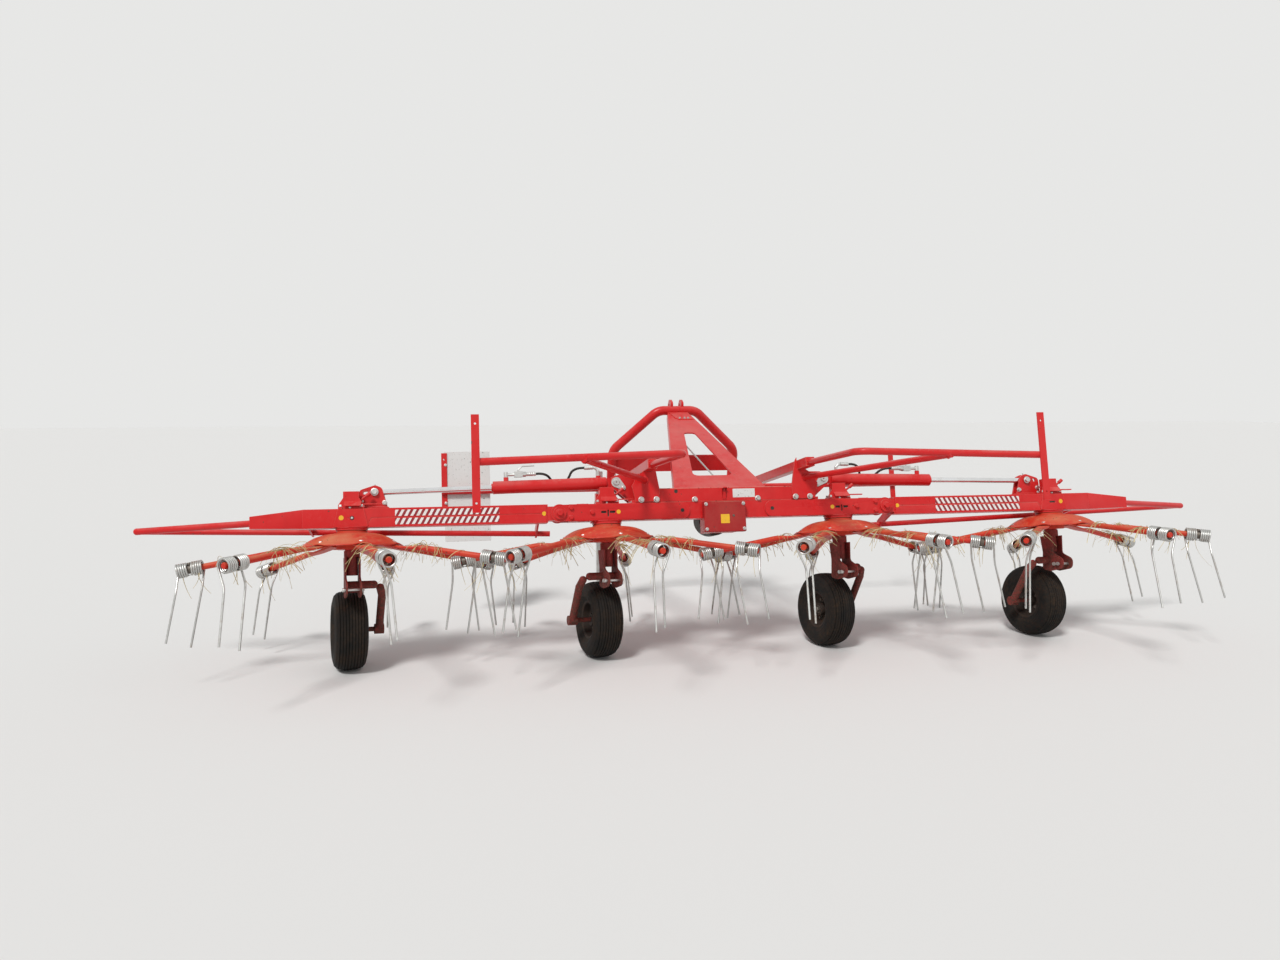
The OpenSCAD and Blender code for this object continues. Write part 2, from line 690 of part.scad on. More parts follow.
// Wheel leg: turning post, two side plates and the bent arm that carries the axle
module at_leg(i) at_rotor(i) rotate([0, 0, steer]) children();
fork_in = 30;
fork_t = 8;
leg_collar = 60;
leg_waist = 150;
fork_foot = 250;
fork_pin_w = 225;
module leg(i) {
    side = rotors[i][2];
    color(red) at_leg(i) {
        translate([0, 0, -leg_waist]) cylinder(r = post_r, h = leg_waist + hub_top - 10);
        translate([0, 0, -leg_collar]) cylinder(r = sleeve_r + 4, h = leg_collar + sleeve_foot - 1);
        difference() {
            for (u = [-fork_in - fork_t, fork_in]) cross_plate(rounded([
                [-46, -leg_collar, 0], [46, -leg_collar, 0], [34, -leg_waist, 30], [44, -fork_foot, 20],
                [-12, -fork_foot - 12, 20], [-105, -fork_foot, 30], [-112, -fork_foot + 54, 30], [-40, -leg_waist - 10, 20]
            ]), u, u + fork_t);
            for (v = [-80, -52]) translate([-50, v, -fork_pin_w + 3]) rotate([0, 90, 0]) cylinder(r = 7, h = 100);
        }
        translate([-fork_in - fork_t - 2, 14, -fork_pin_w]) rotate([0, 90, 0])
            cylinder(r = 10, h = 2 * (fork_in + fork_t + 2));
        on_side(side) {
            jointed_bar([
                [-34, 0, -198], [arm_side - 45, 0, -198], [arm_side - 12, 14, -214], [arm_side, 44, -250],
                [arm_side, wheel_lead, -axle_drop]
            ], wheel_arm_r);
            translate([arm_side - wheel_arm_r - 4, wheel_lead, -axle_drop]) rotate([0, 90, 0])
                cylinder(r = wheel_arm_r + 6, h = 2 * wheel_arm_r + 8);
            translate([-52, wheel_lead, -axle_drop]) rotate([0, 90, 0]) cylinder(r = axle_r, h = arm_side + 40);
        }
    }
}
// Dished rim and hub, turning on the axle
hub_r = 34;
hub_half = 48;
module at_wheel(i) at_leg(i) translate([0, wheel_lead, -axle_drop]) rotate([0, 90, 0]) children();
module rim(i) {
    bore = axle_r + run_gap;
    color("maroon") at_wheel(i) rotate_extrude() polygon([
        [bore, -hub_half], [hub_r, -hub_half], [hub_r, -12], [rim_r - 12, -26], [rim_r - 12, -60], [rim_r, -66],
        [rim_r, 66], [rim_r - 8, 66], [rim_r - 8, -18], [hub_r, -4],
        [hub_r, hub_half], [bore, hub_half]
    ]);
}
module tyre(i) {
    color(black) at_wheel(i) rotate_extrude() polygon(concat(
        [[rim_r + 0.02, -66], [tyre_points[6][1], -tyre_points[6][0]]],
        [for (k = [5:-1:0]) [tyre_points[k][1], -tyre_points[k][0]]],
        [for (k = [1:6]) [tyre_points[k][1], tyre_points[k][0]]],
        [[rim_r + 0.02, 66]]
    ));
}

// Wing beam with its hinge knuckle and tapered end
wing_h = 95;
wing_d = beam_d - 4;
half_wing = wing_d / 2;
knuckle_r = 42;
knuckle_half = half_d - 0.5;
wing_start = hinge_u + 60;
taper_h = 60;
boss_u = 1.5 * rotor_pitch;
boss_t = 4;
seam_end = boss_u - 100;
module wing_beam(side) {
    color(red) work_frame() on_side(side) {
        difference() {
            union() {
                pin_v(hinge_u, hinge_w, knuckle_r, -knuckle_half, knuckle_half);
                block([hinge_u, -half_wing, hinge_w - 36], [wing_start, half_wing, hinge_w + 36]);
            }
            pin_v(hinge_u, hinge_w, hinge_pin_r + run_gap, -half_d, half_d);
        }
        difference() {
            block([wing_start, -half_wing, hinge_w - wing_h / 2], [wing_end, half_wing, hinge_w + wing_h / 2]);
            upright_plate([
                [wing_start + 32, hinge_w - 2], [seam_end - 2, hinge_w - 2], [seam_end + 22, hinge_w - 38],
                [seam_end + 25, hinge_w - 34], [seam_end, hinge_w + 2], [wing_start + 32, hinge_w + 2]
            ], -half_wing - 1, -half_wing + 2);
        }
        difference() {
            upright_plate([
                [boss_u - 82, hinge_w - wing_h / 2 + 4], [boss_u + 82, hinge_w - wing_h / 2 + 4],
                [boss_u + 62, hinge_w + wing_h / 2 - 3], [boss_u - 62, hinge_w + wing_h / 2 - 3]
            ], -half_wing - boss_t, -half_wing);
            pin_v(boss_u + 12, hinge_w, 5, -half_wing - boss_t - 1, -half_wing - boss_t / 2);
        }
        upright_plate([
            [wing_end, hinge_w - wing_h / 2], [taper_end, hinge_w - wing_h / 2 + 6],
            [taper_end, hinge_w - wing_h / 2 + 6 + taper_h], [wing_end, hinge_w + wing_h / 2]
        ], -half_wing + 4, half_wing - 4);
    }
}

// Side guard: a bar from the tapered end to the tip and back along the front of the wing
side_r = 17;
tip_v = 235;
front_bar = [hinge_u + 25, 246, 46];
side_start = [taper_end, 0, hinge_w - wing_h / 2 + 6 + taper_h / 2];
side_tip = [tip_u - side_r, tip_v, 113];
module side_guard(side) {
    color(red) work_frame() on_side(side) {
        difference() {
            bar(side_start - [20, 0, 0], side_tip, side_r);
            block([taper_end - 60, -60, side_start[2] - 60], [taper_end, 60, side_start[2] + 60]);
        }
        translate(side_tip) sphere(r = side_r + 0.4);
        bar(side_tip, front_bar, side_r - 2);
        for (u = [wing_start + 35, wing_end - 12]) {
            w = front_bar[2] + (side_tip[2] - front_bar[2]) * (u - front_bar[0]) / (side_tip[0] - front_bar[0]);
            cross_plate([
                [half_wing, hinge_w - 30], [half_wing, hinge_w + 30], [tip_v + 30, w + 22], [tip_v + 30, w - 22]
            ], u, u + 10);
        }
    }
}

// Twin lugs on the wing for the rod's eye, which rests between two pin stubs
eye_half = 15;
lug_base_v = 24;
lug_in = eye_half + side_gap;
wing_top = hinge_w + wing_h / 2;
module rod_lugs(side) {
    color(red) work_frame() on_side(side) {
        block([rod_pin_u - 70, lug_base_v, wing_top], [rod_pin_u + 90, cyl_v + lug_in + bracket_t, wing_top + 12]);
        for (v = [cyl_v - lug_in - bracket_t, cyl_v + lug_in]) difference() {
            upright_plate(rounded([
                [rod_pin_u - 62, wing_top + 12, 0], [rod_pin_u + 82, wing_top + 12, 0],
                [rod_pin_u + 78, rod_pin_w + 10, 24], [rod_pin_u - 2, rod_pin_w + 36, 24],
                [rod_pin_u - 36, rod_pin_w + 22, 22]
            ]), v, v + bracket_t);
            upright_plate(rounded([
                [rod_pin_u + 24, rod_pin_w - 11, 8], [rod_pin_u + 60, rod_pin_w - 11, 8],
                [rod_pin_u + 60, rod_pin_w + 7, 8], [rod_pin_u + 24, rod_pin_w + 7, 8]
            ]), v - 1, v + bracket_t + 1);
        }
        pin_v(rod_pin_u, rod_pin_w, cyl_pin_r, cyl_v - lug_in - bracket_t - 8, cyl_v - lug_in);
        pin_v(rod_pin_u, rod_pin_w, cyl_pin_r, cyl_v + lug_in, cyl_v + lug_in + bracket_t + 8);
    }
}

// Folding cylinder: barrel on the base pin, rod out to the wing
cyl_vector = [rod_pin_u - base_pin_u, rod_pin_w - base_pin_w];
cyl_angle = atan2(cyl_vector[1], cyl_vector[0]);
cyl_len = norm(cyl_vector);
bore_r = barrel_r - 8;
neck_len = 52;
neck_half = 25;
gland_len = 8;
rod_port = barrel_len - 70;
port_r = 13;
port_top = 52;
base_port = 91;
base_port_top = 42;
elbow_w = 88;
hose_r = 6.5;
hose_from = 425;
hose_to = 165;
// Route of the hose: along the cylinder, forward and up
hose_route = [
    [hose_from, 0, port_top + 14], [400, 0, port_top + 14], [378, 4, 62], [359, 14, 53], [347, 28, 40], [336, 42, 27],
    [318, 52, 18], [295, 56, 14], [271, 52, 19], [252, 42, 32], [242, 28, 51], [234, 14, 70], [214, 4, 83],
    [190, 0, elbow_w], [hose_to, 0, elbow_w]
];
module along_cylinder(side) work_frame() on_side(side)
    translate([base_pin_u, cyl_v, base_pin_w]) rotate([0, -cyl_angle, 0]) children();
module barrel(side) {
    color(red) along_cylinder(side) difference() {
        union() {
            rotate([90, 0, 0]) cylinder(r = 30, h = 2 * (bracket_gap - side_gap), center = true);
            block([0, -bracket_gap + side_gap, -neck_half], [neck_len, bracket_gap - side_gap, neck_half]);
            translate([neck_len, 0, 0]) rotate([0, 90, 0]) cylinder(r = barrel_r, h = barrel_len - neck_len);
            translate([barrel_len, 0, 0]) rotate([0, 90, 0]) cylinder(r = rod_r + 8, h = gland_len);
            translate([rod_port, 0, 20]) cylinder(r = port_r, h = port_top - 20);
            translate([base_port, 0, 20]) cylinder(r = port_r, h = base_port_top - 20);
        }
        rotate([90, 0, 0]) cylinder(r = cyl_pin_r + run_gap, h = 3 * bracket_gap, center = true);
        translate([neck_len + 12, 0, 0]) rotate([0, 90, 0]) cylinder(r = bore_r, h = barrel_len - neck_len - 52);
        translate([barrel_len - 50, 0, 0]) rotate([0, 90, 0]) cylinder(r = rod_r + run_gap, h = 60 + gland_len);
    }
}
// Shut-off valve with its lever on the rod end's port, and the elbow on the other port
valve_w = port_top + 14;
valve_at = rod_port - 66;
valve_half = 22;
ferrule_r = 10.5;
module pipe_u(u0, u1, w, r, sides = 48) translate([u0, 0, w]) rotate([0, 90, 0]) cylinder(r = r, h = u1 - u0, $fn = sides);
module valve(side) {
    color(zinc) along_cylinder(side) {
        translate([rod_port, 0, port_top]) cylinder(r = 11, h = 2 * (valve_w - port_top));
        pipe_u(valve_at + valve_half, rod_port, valve_w, 8);
        block([valve_at - valve_half, -15, valve_w - 15], [valve_at + valve_half, 15, valve_w + 15]);
        pipe_u(valve_at - valve_half - 18, valve_at - valve_half, valve_w, 14, 6);
        pipe_u(hose_from, valve_at - valve_half - 18, valve_w, ferrule_r);
        translate([valve_at, 0, valve_w + 15]) cylinder(r = 5, h = 10);
        jointed_bar([[valve_at, 0, valve_w + 25], [valve_at - 20, 0, valve_w + 42], [valve_at - 86, 0, valve_w + 44]], 3.5);
        jointed_bar([[base_port, 0, base_port_top], [base_port, 0, elbow_w - 18], [base_port + 14, 0, elbow_w - 3],
            [base_port + 26, 0, elbow_w]], 8);
        pipe_u(base_port + 26, hose_to, elbow_w, ferrule_r);
    }
}
// Hose between the two fittings, which sags behind the barrel
function route_way(p, i) = unit(p[min(i + 1, len(p) - 1)] - p[max(i - 1, 0)]);
function route_ring(c, way, r, n) =
    let (across = unit(cross(way, [0, 1, 0])), up = cross(way, across))
    [for (k = [0:n - 1]) c + r * (cos(k * 360 / n) * across + sin(k * 360 / n) * up)];
module swept_tube(p, r, n) {
    last = len(p) - 1;
    polyhedron(
        [for (i = [0:last]) each route_ring(p[i], route_way(p, i), r, n)],
        concat(
            [[for (k = [0:n - 1]) k]],
            [for (i = [0:last - 1], k = [0:n - 1])
                [i * n + k, (i + 1) * n + k, (i + 1) * n + (k + 1) % n, i * n + (k + 1) % n]],
            [[for (k = [n - 1:-1:0]) last * n + k]]
        )
    );
}
module hose(side) color(black) along_cylinder(side) swept_tube(hose_route, hose_r, 10);
rod_inside = 108;
module piston_rod(side) {
    color(zinc) along_cylinder(side) difference() {
        union() {
            translate([barrel_len - rod_inside, 0, 0]) rotate([0, 90, 0])
                cylinder(r = rod_r, h = cyl_len - barrel_len + rod_inside - 20);
            translate([cyl_len, 0, 0]) rotate([90, 0, 0]) cylinder(r = 29, h = 2 * eye_half, center = true);
        }
        translate([cyl_len, 0, 0]) rotate([90, 0, 0]) cylinder(r = cyl_pin_r + run_gap, h = 4 * eye_half, center = true);
    }
}

// Parking stand in its sleeve beside the left leg of the bow, upright and with its foot on the floor
half_stand = stand_size / 2;
sleeve_low = 620;
sleeve_high = 760;
sleeve_wall = 6;
stand_at = [-stand_x, machine_y + stand_y, 0];
module stand_sleeve() {
    outer = half_stand + run_gap + sleeve_wall;
    color(red) translate(stand_at) difference() {
        union() {
            block([-outer, -outer, sleeve_low], [outer, outer, sleeve_high]);
            for (z = [sleeve_low + 10, sleeve_high - 70])
                block([outer, -10, z], [stand_x - bow_u + 5, 110, z + 10]);
        }
        translate([0, 0, sleeve_low - 1]) linear_extrude(sleeve_high - sleeve_low + 2)
            square(2 * (half_stand + run_gap), center = true);
    }
}
module parking_stand() {
    color(zinc) translate(stand_at) {
        difference() {
            translate([-half_stand, -half_stand, 8]) cube([stand_size, stand_size, stand_len]);
            for (z = [stand_len - 40:-60:stand_len - 280])
                translate([0, -half_stand - 1, z]) rotate([-90, 0, 0]) cylinder(r = 7, h = stand_size + 2);
        }
        block([-60, -60, 0], [60, 60, 8]);
    }
}

centre_beam();
upper_channel();
gearbox();
gearbox_cover();
shaft_guard();
input_shaft();
tower();
union() { hitch_bow(); stand_sleeve(); }
rail(-1);  // rail_left
rail(1);  // rail_right
rear_guard(-1);  // rear_guard_left
rear_guard(1);  // rear_guard_right
front_guard(-1);  // front_guard_left
front_guard(1);  // front_guard_right
warning_panel();
cylinder_bracket(-1);  // cylinder_bracket_left
cylinder_bracket(1);  // cylinder_bracket_right
for (i = [0:3]) {
    turn_lock(i);
    gear_housing(i);
    rotor_disc(i);
    tines(i);
    leg(i);
    rim(i);
    tyre(i);
}
wing_beam(-1);  // wing_beam_left
wing_beam(1);  // wing_beam_right
side_guard(-1);  // side_guard_left
side_guard(1);  // side_guard_right
rod_lugs(-1);  // rod_lugs_left
rod_lugs(1);  // rod_lugs_right
barrel(-1);  // barrel_left
barrel(1);  // barrel_right
valve(-1);  // valve_left
valve(1);  // valve_right
hose(-1);  // hose_left
hose(1);  // hose_right
piston_rod(-1);  // piston_rod_left
piston_rod(1);  // piston_rod_right
parking_stand();
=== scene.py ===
# %% [markdown]
# # A four-rotor hay tedder
#
# The machine is parked on its four small wheels and its front stand. Most of it is painted
# steel: a folding beam, tube guards, domed rotors. What catches the eye are the silver spring
# tines, so they get the most modelling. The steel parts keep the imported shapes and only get
# softened edges; tines, discs, tyres, hoses and small hardware are new meshes.

# %% Load the frame
import json
import math

import bmesh
import bpy
import numpy as np
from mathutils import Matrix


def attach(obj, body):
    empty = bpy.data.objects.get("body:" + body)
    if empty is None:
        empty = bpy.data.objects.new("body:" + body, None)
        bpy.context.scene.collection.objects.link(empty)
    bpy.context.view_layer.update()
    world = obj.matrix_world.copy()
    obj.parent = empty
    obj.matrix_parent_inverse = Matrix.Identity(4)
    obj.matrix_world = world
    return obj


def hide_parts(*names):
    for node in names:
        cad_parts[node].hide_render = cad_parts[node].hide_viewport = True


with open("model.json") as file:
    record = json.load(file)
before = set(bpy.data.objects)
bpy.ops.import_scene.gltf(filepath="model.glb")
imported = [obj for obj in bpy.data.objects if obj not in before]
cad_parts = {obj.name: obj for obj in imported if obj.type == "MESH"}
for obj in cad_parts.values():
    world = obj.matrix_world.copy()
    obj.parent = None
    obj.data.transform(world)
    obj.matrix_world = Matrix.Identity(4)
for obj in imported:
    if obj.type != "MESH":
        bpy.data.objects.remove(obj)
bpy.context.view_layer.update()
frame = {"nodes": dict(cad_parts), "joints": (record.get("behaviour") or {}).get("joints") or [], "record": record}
scene = bpy.context.scene
nodes = frame["nodes"]
record = frame["record"]
joints = {joint["name"]: joint for joint in frame["joints"]}
slot_of = {row["node"]: row["material_slot"] for row in record["subparts"]}
body_of = {node: body for body, names in record["behaviour"]["bodies"].items() for node in names}

# %% [markdown]
# ## The work frame
#
# Rotors, beams and guards lean forward together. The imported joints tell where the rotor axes
# are, so a second set of axes can be worked out from them: u along the beam, v forward and
# w along the rotor axes, with its origin between the two inner rotors. Everything below is
# placed in u, v and w and turned into the machine's own X, Y and Z in one step.

# %% Work frame
ROTORS = (1, 2, 3, 4)
SIDES = {"left": -1, "right": 1}
rotor_at = {i: np.array(joints[f"rotor_{i}_spin"]["pos_m"]) for i in ROTORS}
AXIS_U = np.array((1.0, 0.0, 0.0))
AXIS_W = np.array(joints["rotor_3_spin"]["axis"])
AXIS_V = np.cross(AXIS_W, AXIS_U)
AXES = np.array((AXIS_U, AXIS_V, AXIS_W))
ORIGIN = (rotor_at[2] + rotor_at[3]) / 2
rotor_u = {i: float(rotor_at[i][0]) for i in ROTORS}


def placed(points, origin=ORIGIN, axes=AXES):
    """Points in a frame's own axes, moved to the machine: the origin plus each coordinate times its axis."""
    return np.asarray(origin) + np.asarray(points) @ np.asarray(axes)


lean = math.degrees(math.asin(AXIS_W[1]))
print("rotor axes at u =", [round(u, 3) for u in rotor_u.values()], "lean", round(lean, 2))

# %% [markdown]
# ## Shapes as arrays
#
# A shape here is three arrays: corners, four-sided faces and three-sided faces. A tube, a
# turned part and a plate are all grids of points, so one function makes faces for any grid.
# Each row of the grid runs once round the shape.

# %% Faces of a grid
FULL = 2 * math.pi


def unit(vectors):
    """Vectors scaled to length one along their last axis."""
    vectors = np.asarray(vectors, float)
    return vectors / np.linalg.norm(vectors, axis=-1, keepdims=True)


def angles_round(count):
    """Equal angles once round a circle."""
    return np.arange(count) * FULL / count


def polar(radius, angle, height):
    """Points from a radius, an angle and a height: (r cos a, r sin a, h)."""
    return np.stack(np.broadcast_arrays(radius * np.cos(angle), radius * np.sin(angle), height), -1)


def grid_shape(points, ring=False):
    """Faces between neighbouring rows of a grid. In a ring the last row joins the first. Otherwise each end
    is closed by a fan of triangles round its middle."""
    rows, columns = points.shape[:2]
    index = np.arange(rows * columns).reshape(rows, columns)
    if ring:
        index = np.vstack((index, index[:1]))
    index = np.hstack((index, index[:, :1]))
    quads = np.stack((index[:-1, :-1], index[:-1, 1:], index[1:, 1:], index[1:, :-1]), -1).reshape(-1, 4)
    corners = points.reshape(-1, 3)
    if ring:
        return corners, quads, np.zeros((0, 3), int)
    first, last, total = index[0], index[-1], len(corners)
    fan_a = np.stack((first[1:], first[:-1], np.full(columns, total)), -1)
    fan_b = np.stack((last[:-1], last[1:], np.full(columns, total + 1)), -1)
    corners = np.vstack((corners, points[0].mean(0), points[-1].mean(0)))
    return corners, quads, np.vstack((fan_a, fan_b))


def flipped(shape):
    """The same shape with its faces turned over."""
    return shape[0], shape[1][:, ::-1], shape[2][:, ::-1]


def outward(shape):
    """A closed shape with its faces turned outwards. Each triangle and the origin span a small signed volume,
    a . (b x c) / 6, and their sum is negative when the faces look inwards."""
    corners, quads, triangles = shape
    faces = np.vstack((quads[:, (0, 1, 2)], quads[:, (0, 2, 3)], triangles))
    a, b, c = corners[faces].transpose(1, 0, 2)
    return shape if np.einsum("ij,ij->", a, np.cross(b, c)) > 0 else flipped(shape)


print("a square by its angles:", polar(1.0, angles_round(4), 0.0).round(2).tolist())

# %% [markdown]
# Three kinds of grid make nearly all of the machine's small parts: circles carried along a
# path, a profile turned about an axis, and a flat outline given a thickness.

# %% Tubes, turned parts and plates
def tube(path, radius, sides=10):
    """Circles square to a path, with one radius or one for each point. The first direction of a circle is
    the cross product of the path's direction and the axis that the path follows least."""
    path = np.asarray(path, float)
    along = unit(np.gradient(path, axis=0))
    side = unit(np.cross(along, np.eye(3)[np.abs(along).max(0).argmin()]))[:, None]
    up = np.cross(along, side[:, 0])[:, None]
    angle = angles_round(sides)[None, :, None]
    radius = np.broadcast_to(radius, len(path))[:, None, None]
    return outward(grid_shape(path[:, None] + radius * (np.cos(angle) * side + np.sin(angle) * up)))


def turned(profile, steps, ring=False):
    """A profile of (height, radius) pairs turned about the z axis. A closed profile makes a ring."""
    height, radius = np.asarray(profile, float).T[:, :, None]
    return outward(grid_shape(polar(radius, angles_round(steps), height), ring))


def plate(outline, thickness):
    """A flat outline (x, y) given a thickness along z, closed by a fan on each side."""
    low = np.column_stack((outline, np.zeros(len(outline))))
    return outward(grid_shape(np.stack((low, low + (0, 0, thickness)))))


def extruded(outline, start, end):
    """An outline in y and z carried along x from start to end."""
    ends = [np.column_stack((np.full(len(outline), x), outline)) for x in (start, end)]
    return outward(grid_shape(np.stack(ends)))


washer = turned([(0, 1), (0, 2), (1, 2), (1, 1)], 8, ring=True)
print("a washer in eight steps has", len(washer[1]), "four-sided faces")

# %% [markdown]
# Bolts, tines and arms repeat. A copy is the same array of corners multiplied by three axes
# and moved, so one multiplication places all the copies.

# %% Joined, copied and placed shapes
BACK = (0, -1, 0)
FRONT = (0, 1, 0)
UP = (0, 0, 1)


def joined(shapes):
    """Several shapes as one, with the face numbers moved on by the corners that came before."""
    corners, quads, triangles = zip(*shapes)
    starts = np.cumsum([0] + [len(part) for part in corners])
    moved_on = [np.vstack([part + start for part, start in zip(faces, starts)]) for faces in (quads, triangles)]
    return np.vstack(corners), *moved_on


def stamped(shape, origins, axes=np.eye(3)):
    """One copy of a shape for each origin and each set of three axes."""
    corners, quads, triangles = shape
    origins, axes = np.atleast_2d(origins), np.asarray(axes).reshape(-1, 3, 3)
    count = max(len(origins), len(axes))
    moved = np.einsum("ni,kij->knj", corners, np.broadcast_to(axes, (count, 3, 3)))
    moved = moved + np.broadcast_to(origins, (count, 3))[:, None]
    steps = (np.arange(count) * len(corners))[:, None, None]
    copies = moved.reshape(-1, 3), (quads + steps).reshape(-1, 4), (triangles + steps).reshape(-1, 3)
    return copies if np.linalg.det(axes[0]) > 0 else flipped(copies)


def axes_along(directions):
    """Three axes for each direction: the third along it, the first square to it and level. For an upright
    direction the first is square to it and to x."""
    third = unit(np.atleast_2d(directions))
    first = np.cross(UP, third)
    upright = np.linalg.norm(first, axis=1, keepdims=True) < 1e-3
    first = unit(np.where(upright, np.cross((1.0, 0.0, 0.0), third), first))
    return np.stack((first, np.cross(third, first), third), 1)


def stood_on(shape, places, direction):
    """Copies of a shape at (u, v, w) places, with its z axis along a direction of the work frame."""
    return stamped(shape, placed(places), axes_along(placed(direction, (0, 0, 0))))


def in_work_frame(shape, spot=(0, 0, 0)):
    """A shape drawn in u, v and w, shifted by a spot and moved to the machine."""
    return stamped(shape, placed(spot), AXES)


def facing_back(shape, v):
    """A flat shape stood up: its x along u, its y along w and its thickness backwards from depth v."""
    return in_work_frame(stamped(shape, (0, v, 0), ((1, 0, 0), (0, 0, 1), (0, -1, 0))))


print("two washers have", len(joined([washer, stamped(washer, (0, 0, 3))])[0]), "corners")

# %% [markdown]
# A finished shape becomes a Blender mesh with `foreach_set`, which takes whole arrays. Faces
# are shaded smooth, with sharp edges kept where two faces meet at a steep angle.

# %% From arrays to a piece
finishes = {}
triangle_counts = []


def piece(name, shape, finish, body, sharp=40.0, replaces=()):
    """Makes a mesh object from a shape, gives it a finish and lets it ride on a body. The material slot has
    the finish's name."""
    corners, quads, triangles = shape
    mesh = bpy.data.meshes.new(name)
    loops = np.concatenate((quads.ravel(), triangles.ravel())).astype(np.int32)
    totals = np.repeat((4, 3), (len(quads), len(triangles))).astype(np.int32)
    starts = (np.cumsum(totals) - totals).astype(np.int32)
    mesh.vertices.add(len(corners))
    mesh.vertices.foreach_set("co", np.asarray(corners, np.float32).ravel())
    mesh.loops.add(len(loops))
    mesh.loops.foreach_set("vertex_index", loops)
    mesh.polygons.add(len(totals))
    mesh.polygons.foreach_set("loop_start", starts)
    mesh.polygons.foreach_set("loop_total", totals)
    mesh.update(calc_edges=True)
    mesh.validate()
    mesh.shade_smooth()
    mesh.set_sharp_from_angle(angle=math.radians(sharp))
    mesh.materials.append(finishes[finish])
    item = bpy.data.objects.new(name, mesh)
    scene.collection.objects.link(item)
    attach(item, body)
    if replaces:
        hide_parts(*replaces)
    triangle_counts.append(2 * len(quads) + len(triangles))
    print(f"{name}: {triangle_counts[-1]} triangles on {body}")

# %% [markdown]
# ## Camera and light
#
# The machine is seen from behind, left of its middle, from about head height. A camera can be
# aimed at a target or turned by angles. Angles are used here, because they were fitted.

# %% Camera
IMAGE_WIDTH = 1280
FOCAL_PIXELS = 960
SENSOR = 36.0
CAMERA_AT = (-1.44, -4.97 + float(ORIGIN[1]), 1.41)
CAMERA_YAW = 11.0
CAMERA_PITCH = 5.06

camera_data = bpy.data.cameras.new("camera")
camera_data.sensor_width = SENSOR
camera_data.lens = SENSOR * FOCAL_PIXELS / IMAGE_WIDTH
camera = bpy.data.objects.new("camera", camera_data)
camera.location = CAMERA_AT
camera.rotation_euler = (math.radians(90 - CAMERA_PITCH), 0.0, math.radians(-CAMERA_YAW))
scene.collection.objects.link(camera)
scene.camera = camera
print("camera at", [round(x, 2) for x in CAMERA_AT], "lens", camera_data.lens)

# %% [markdown]
# The studio light is one distant lamp high on the left, softened over a wide cone, and a weak
# one on the right. Area lamps would fall off with distance. Distant lamps light near and far
# floor alike, so the floor stays one even tone up to the horizon.

# %% Lamps
scene.view_settings.view_transform = "Standard"


def distant_lamp(name, source, power, spread):
    """Even light from the direction of a far source, softened over a cone of some degrees."""
    lamp = bpy.data.lights.new(name, "SUN")
    lamp.energy = power
    lamp.angle = math.radians(spread)
    item = bpy.data.objects.new(name, lamp)
    x, y, z = unit(source)
    item.rotation_euler = (math.acos(z), 0.0, math.atan2(-y, -x) - math.pi / 2)
    scene.collection.objects.link(item)
    print("lamp", name, "from", unit(source).round(2).tolist())


distant_lamp("key", (-0.40, -0.55, 0.80), power=2.2, spread=12)
distant_lamp("fill", (0.75, -0.35, 0.45), power=0.30, spread=60)

# %% [markdown]
# The world does two jobs: it lights the machine softly, and it is the pale background that the
# camera and glossy surfaces see. Light Path tells the two apart.

# %% World
BACKGROUND = (0.80, 0.80, 0.79, 1.0)
WORLD_COLOUR = (0.96, 0.98, 1.0, 1.0)
WORLD_LIGHT = 0.42

world = bpy.data.worlds.new("studio")
scene.world = world
world.use_nodes = True
tree = world.node_tree
tree.nodes.clear()


def background(colour, strength):
    """A background shader with one even colour."""
    node = tree.nodes.new("ShaderNodeBackground")
    node.inputs["Color"].default_value = colour
    node.inputs["Strength"].default_value = strength
    return node.outputs[0]


rays = tree.nodes.new("ShaderNodeLightPath")
either = tree.nodes.new("ShaderNodeMath")
either.operation = "MAXIMUM"
pick = tree.nodes.new("ShaderNodeMixShader")
surface = tree.nodes.new("ShaderNodeOutputWorld")
for output, socket in (
    (rays.outputs["Is Camera Ray"], either.inputs[0]), (rays.outputs["Is Glossy Ray"], either.inputs[1]),
    (either.outputs[0], pick.inputs[0]), (background(WORLD_COLOUR, WORLD_LIGHT), pick.inputs[1]),
    (background(BACKGROUND, 1.0), pick.inputs[2]), (pick.outputs[0], surface.inputs[0]),
):
    tree.links.new(output, socket)
print("world light", WORLD_LIGHT)

# %% [markdown]
# The floor is one large square of matt paper.

# %% Floor
FLOOR_HALF = 40.0
FLOOR_COLOUR = (0.78, 0.77, 0.75, 1.0)

floor_mesh = bpy.data.meshes.new("floor")
floor_corners = [(FLOOR_HALF * x, FLOOR_HALF * y, 0) for x, y in ((-1, -1), (1, -1), (1, 1), (-1, 1))]
floor_mesh.from_pydata(floor_corners, [], [range(4)])
floor = bpy.data.objects.new("floor", floor_mesh)
scene.collection.objects.link(floor)
floor_paper = bpy.data.materials.new("floor_paper")
floor_paper.use_nodes = True
floor_shader = floor_paper.node_tree.nodes["Principled BSDF"]
floor_shader.inputs["Base Color"].default_value = FLOOR_COLOUR
floor_shader.inputs["Roughness"].default_value = 0.9
floor_mesh.materials.append(floor_paper)
print("floor", 2 * FLOOR_HALF, "m wide")

# %% [markdown]
# ## Finishes
#
# Field machines are never one flat colour. Each finish starts from the base colour, drifts a
# little over the surface, takes dust or soil in patches, and shows chips. All patterns are
# read from Object coordinates, in metres, so a scale of 50 means grains of about 20 mm. A
# small class keeps the node tree, so that a finish reads as a list of layers.

# %% A small kit for shader nodes
COAT_ROUGHNESS = 0.15


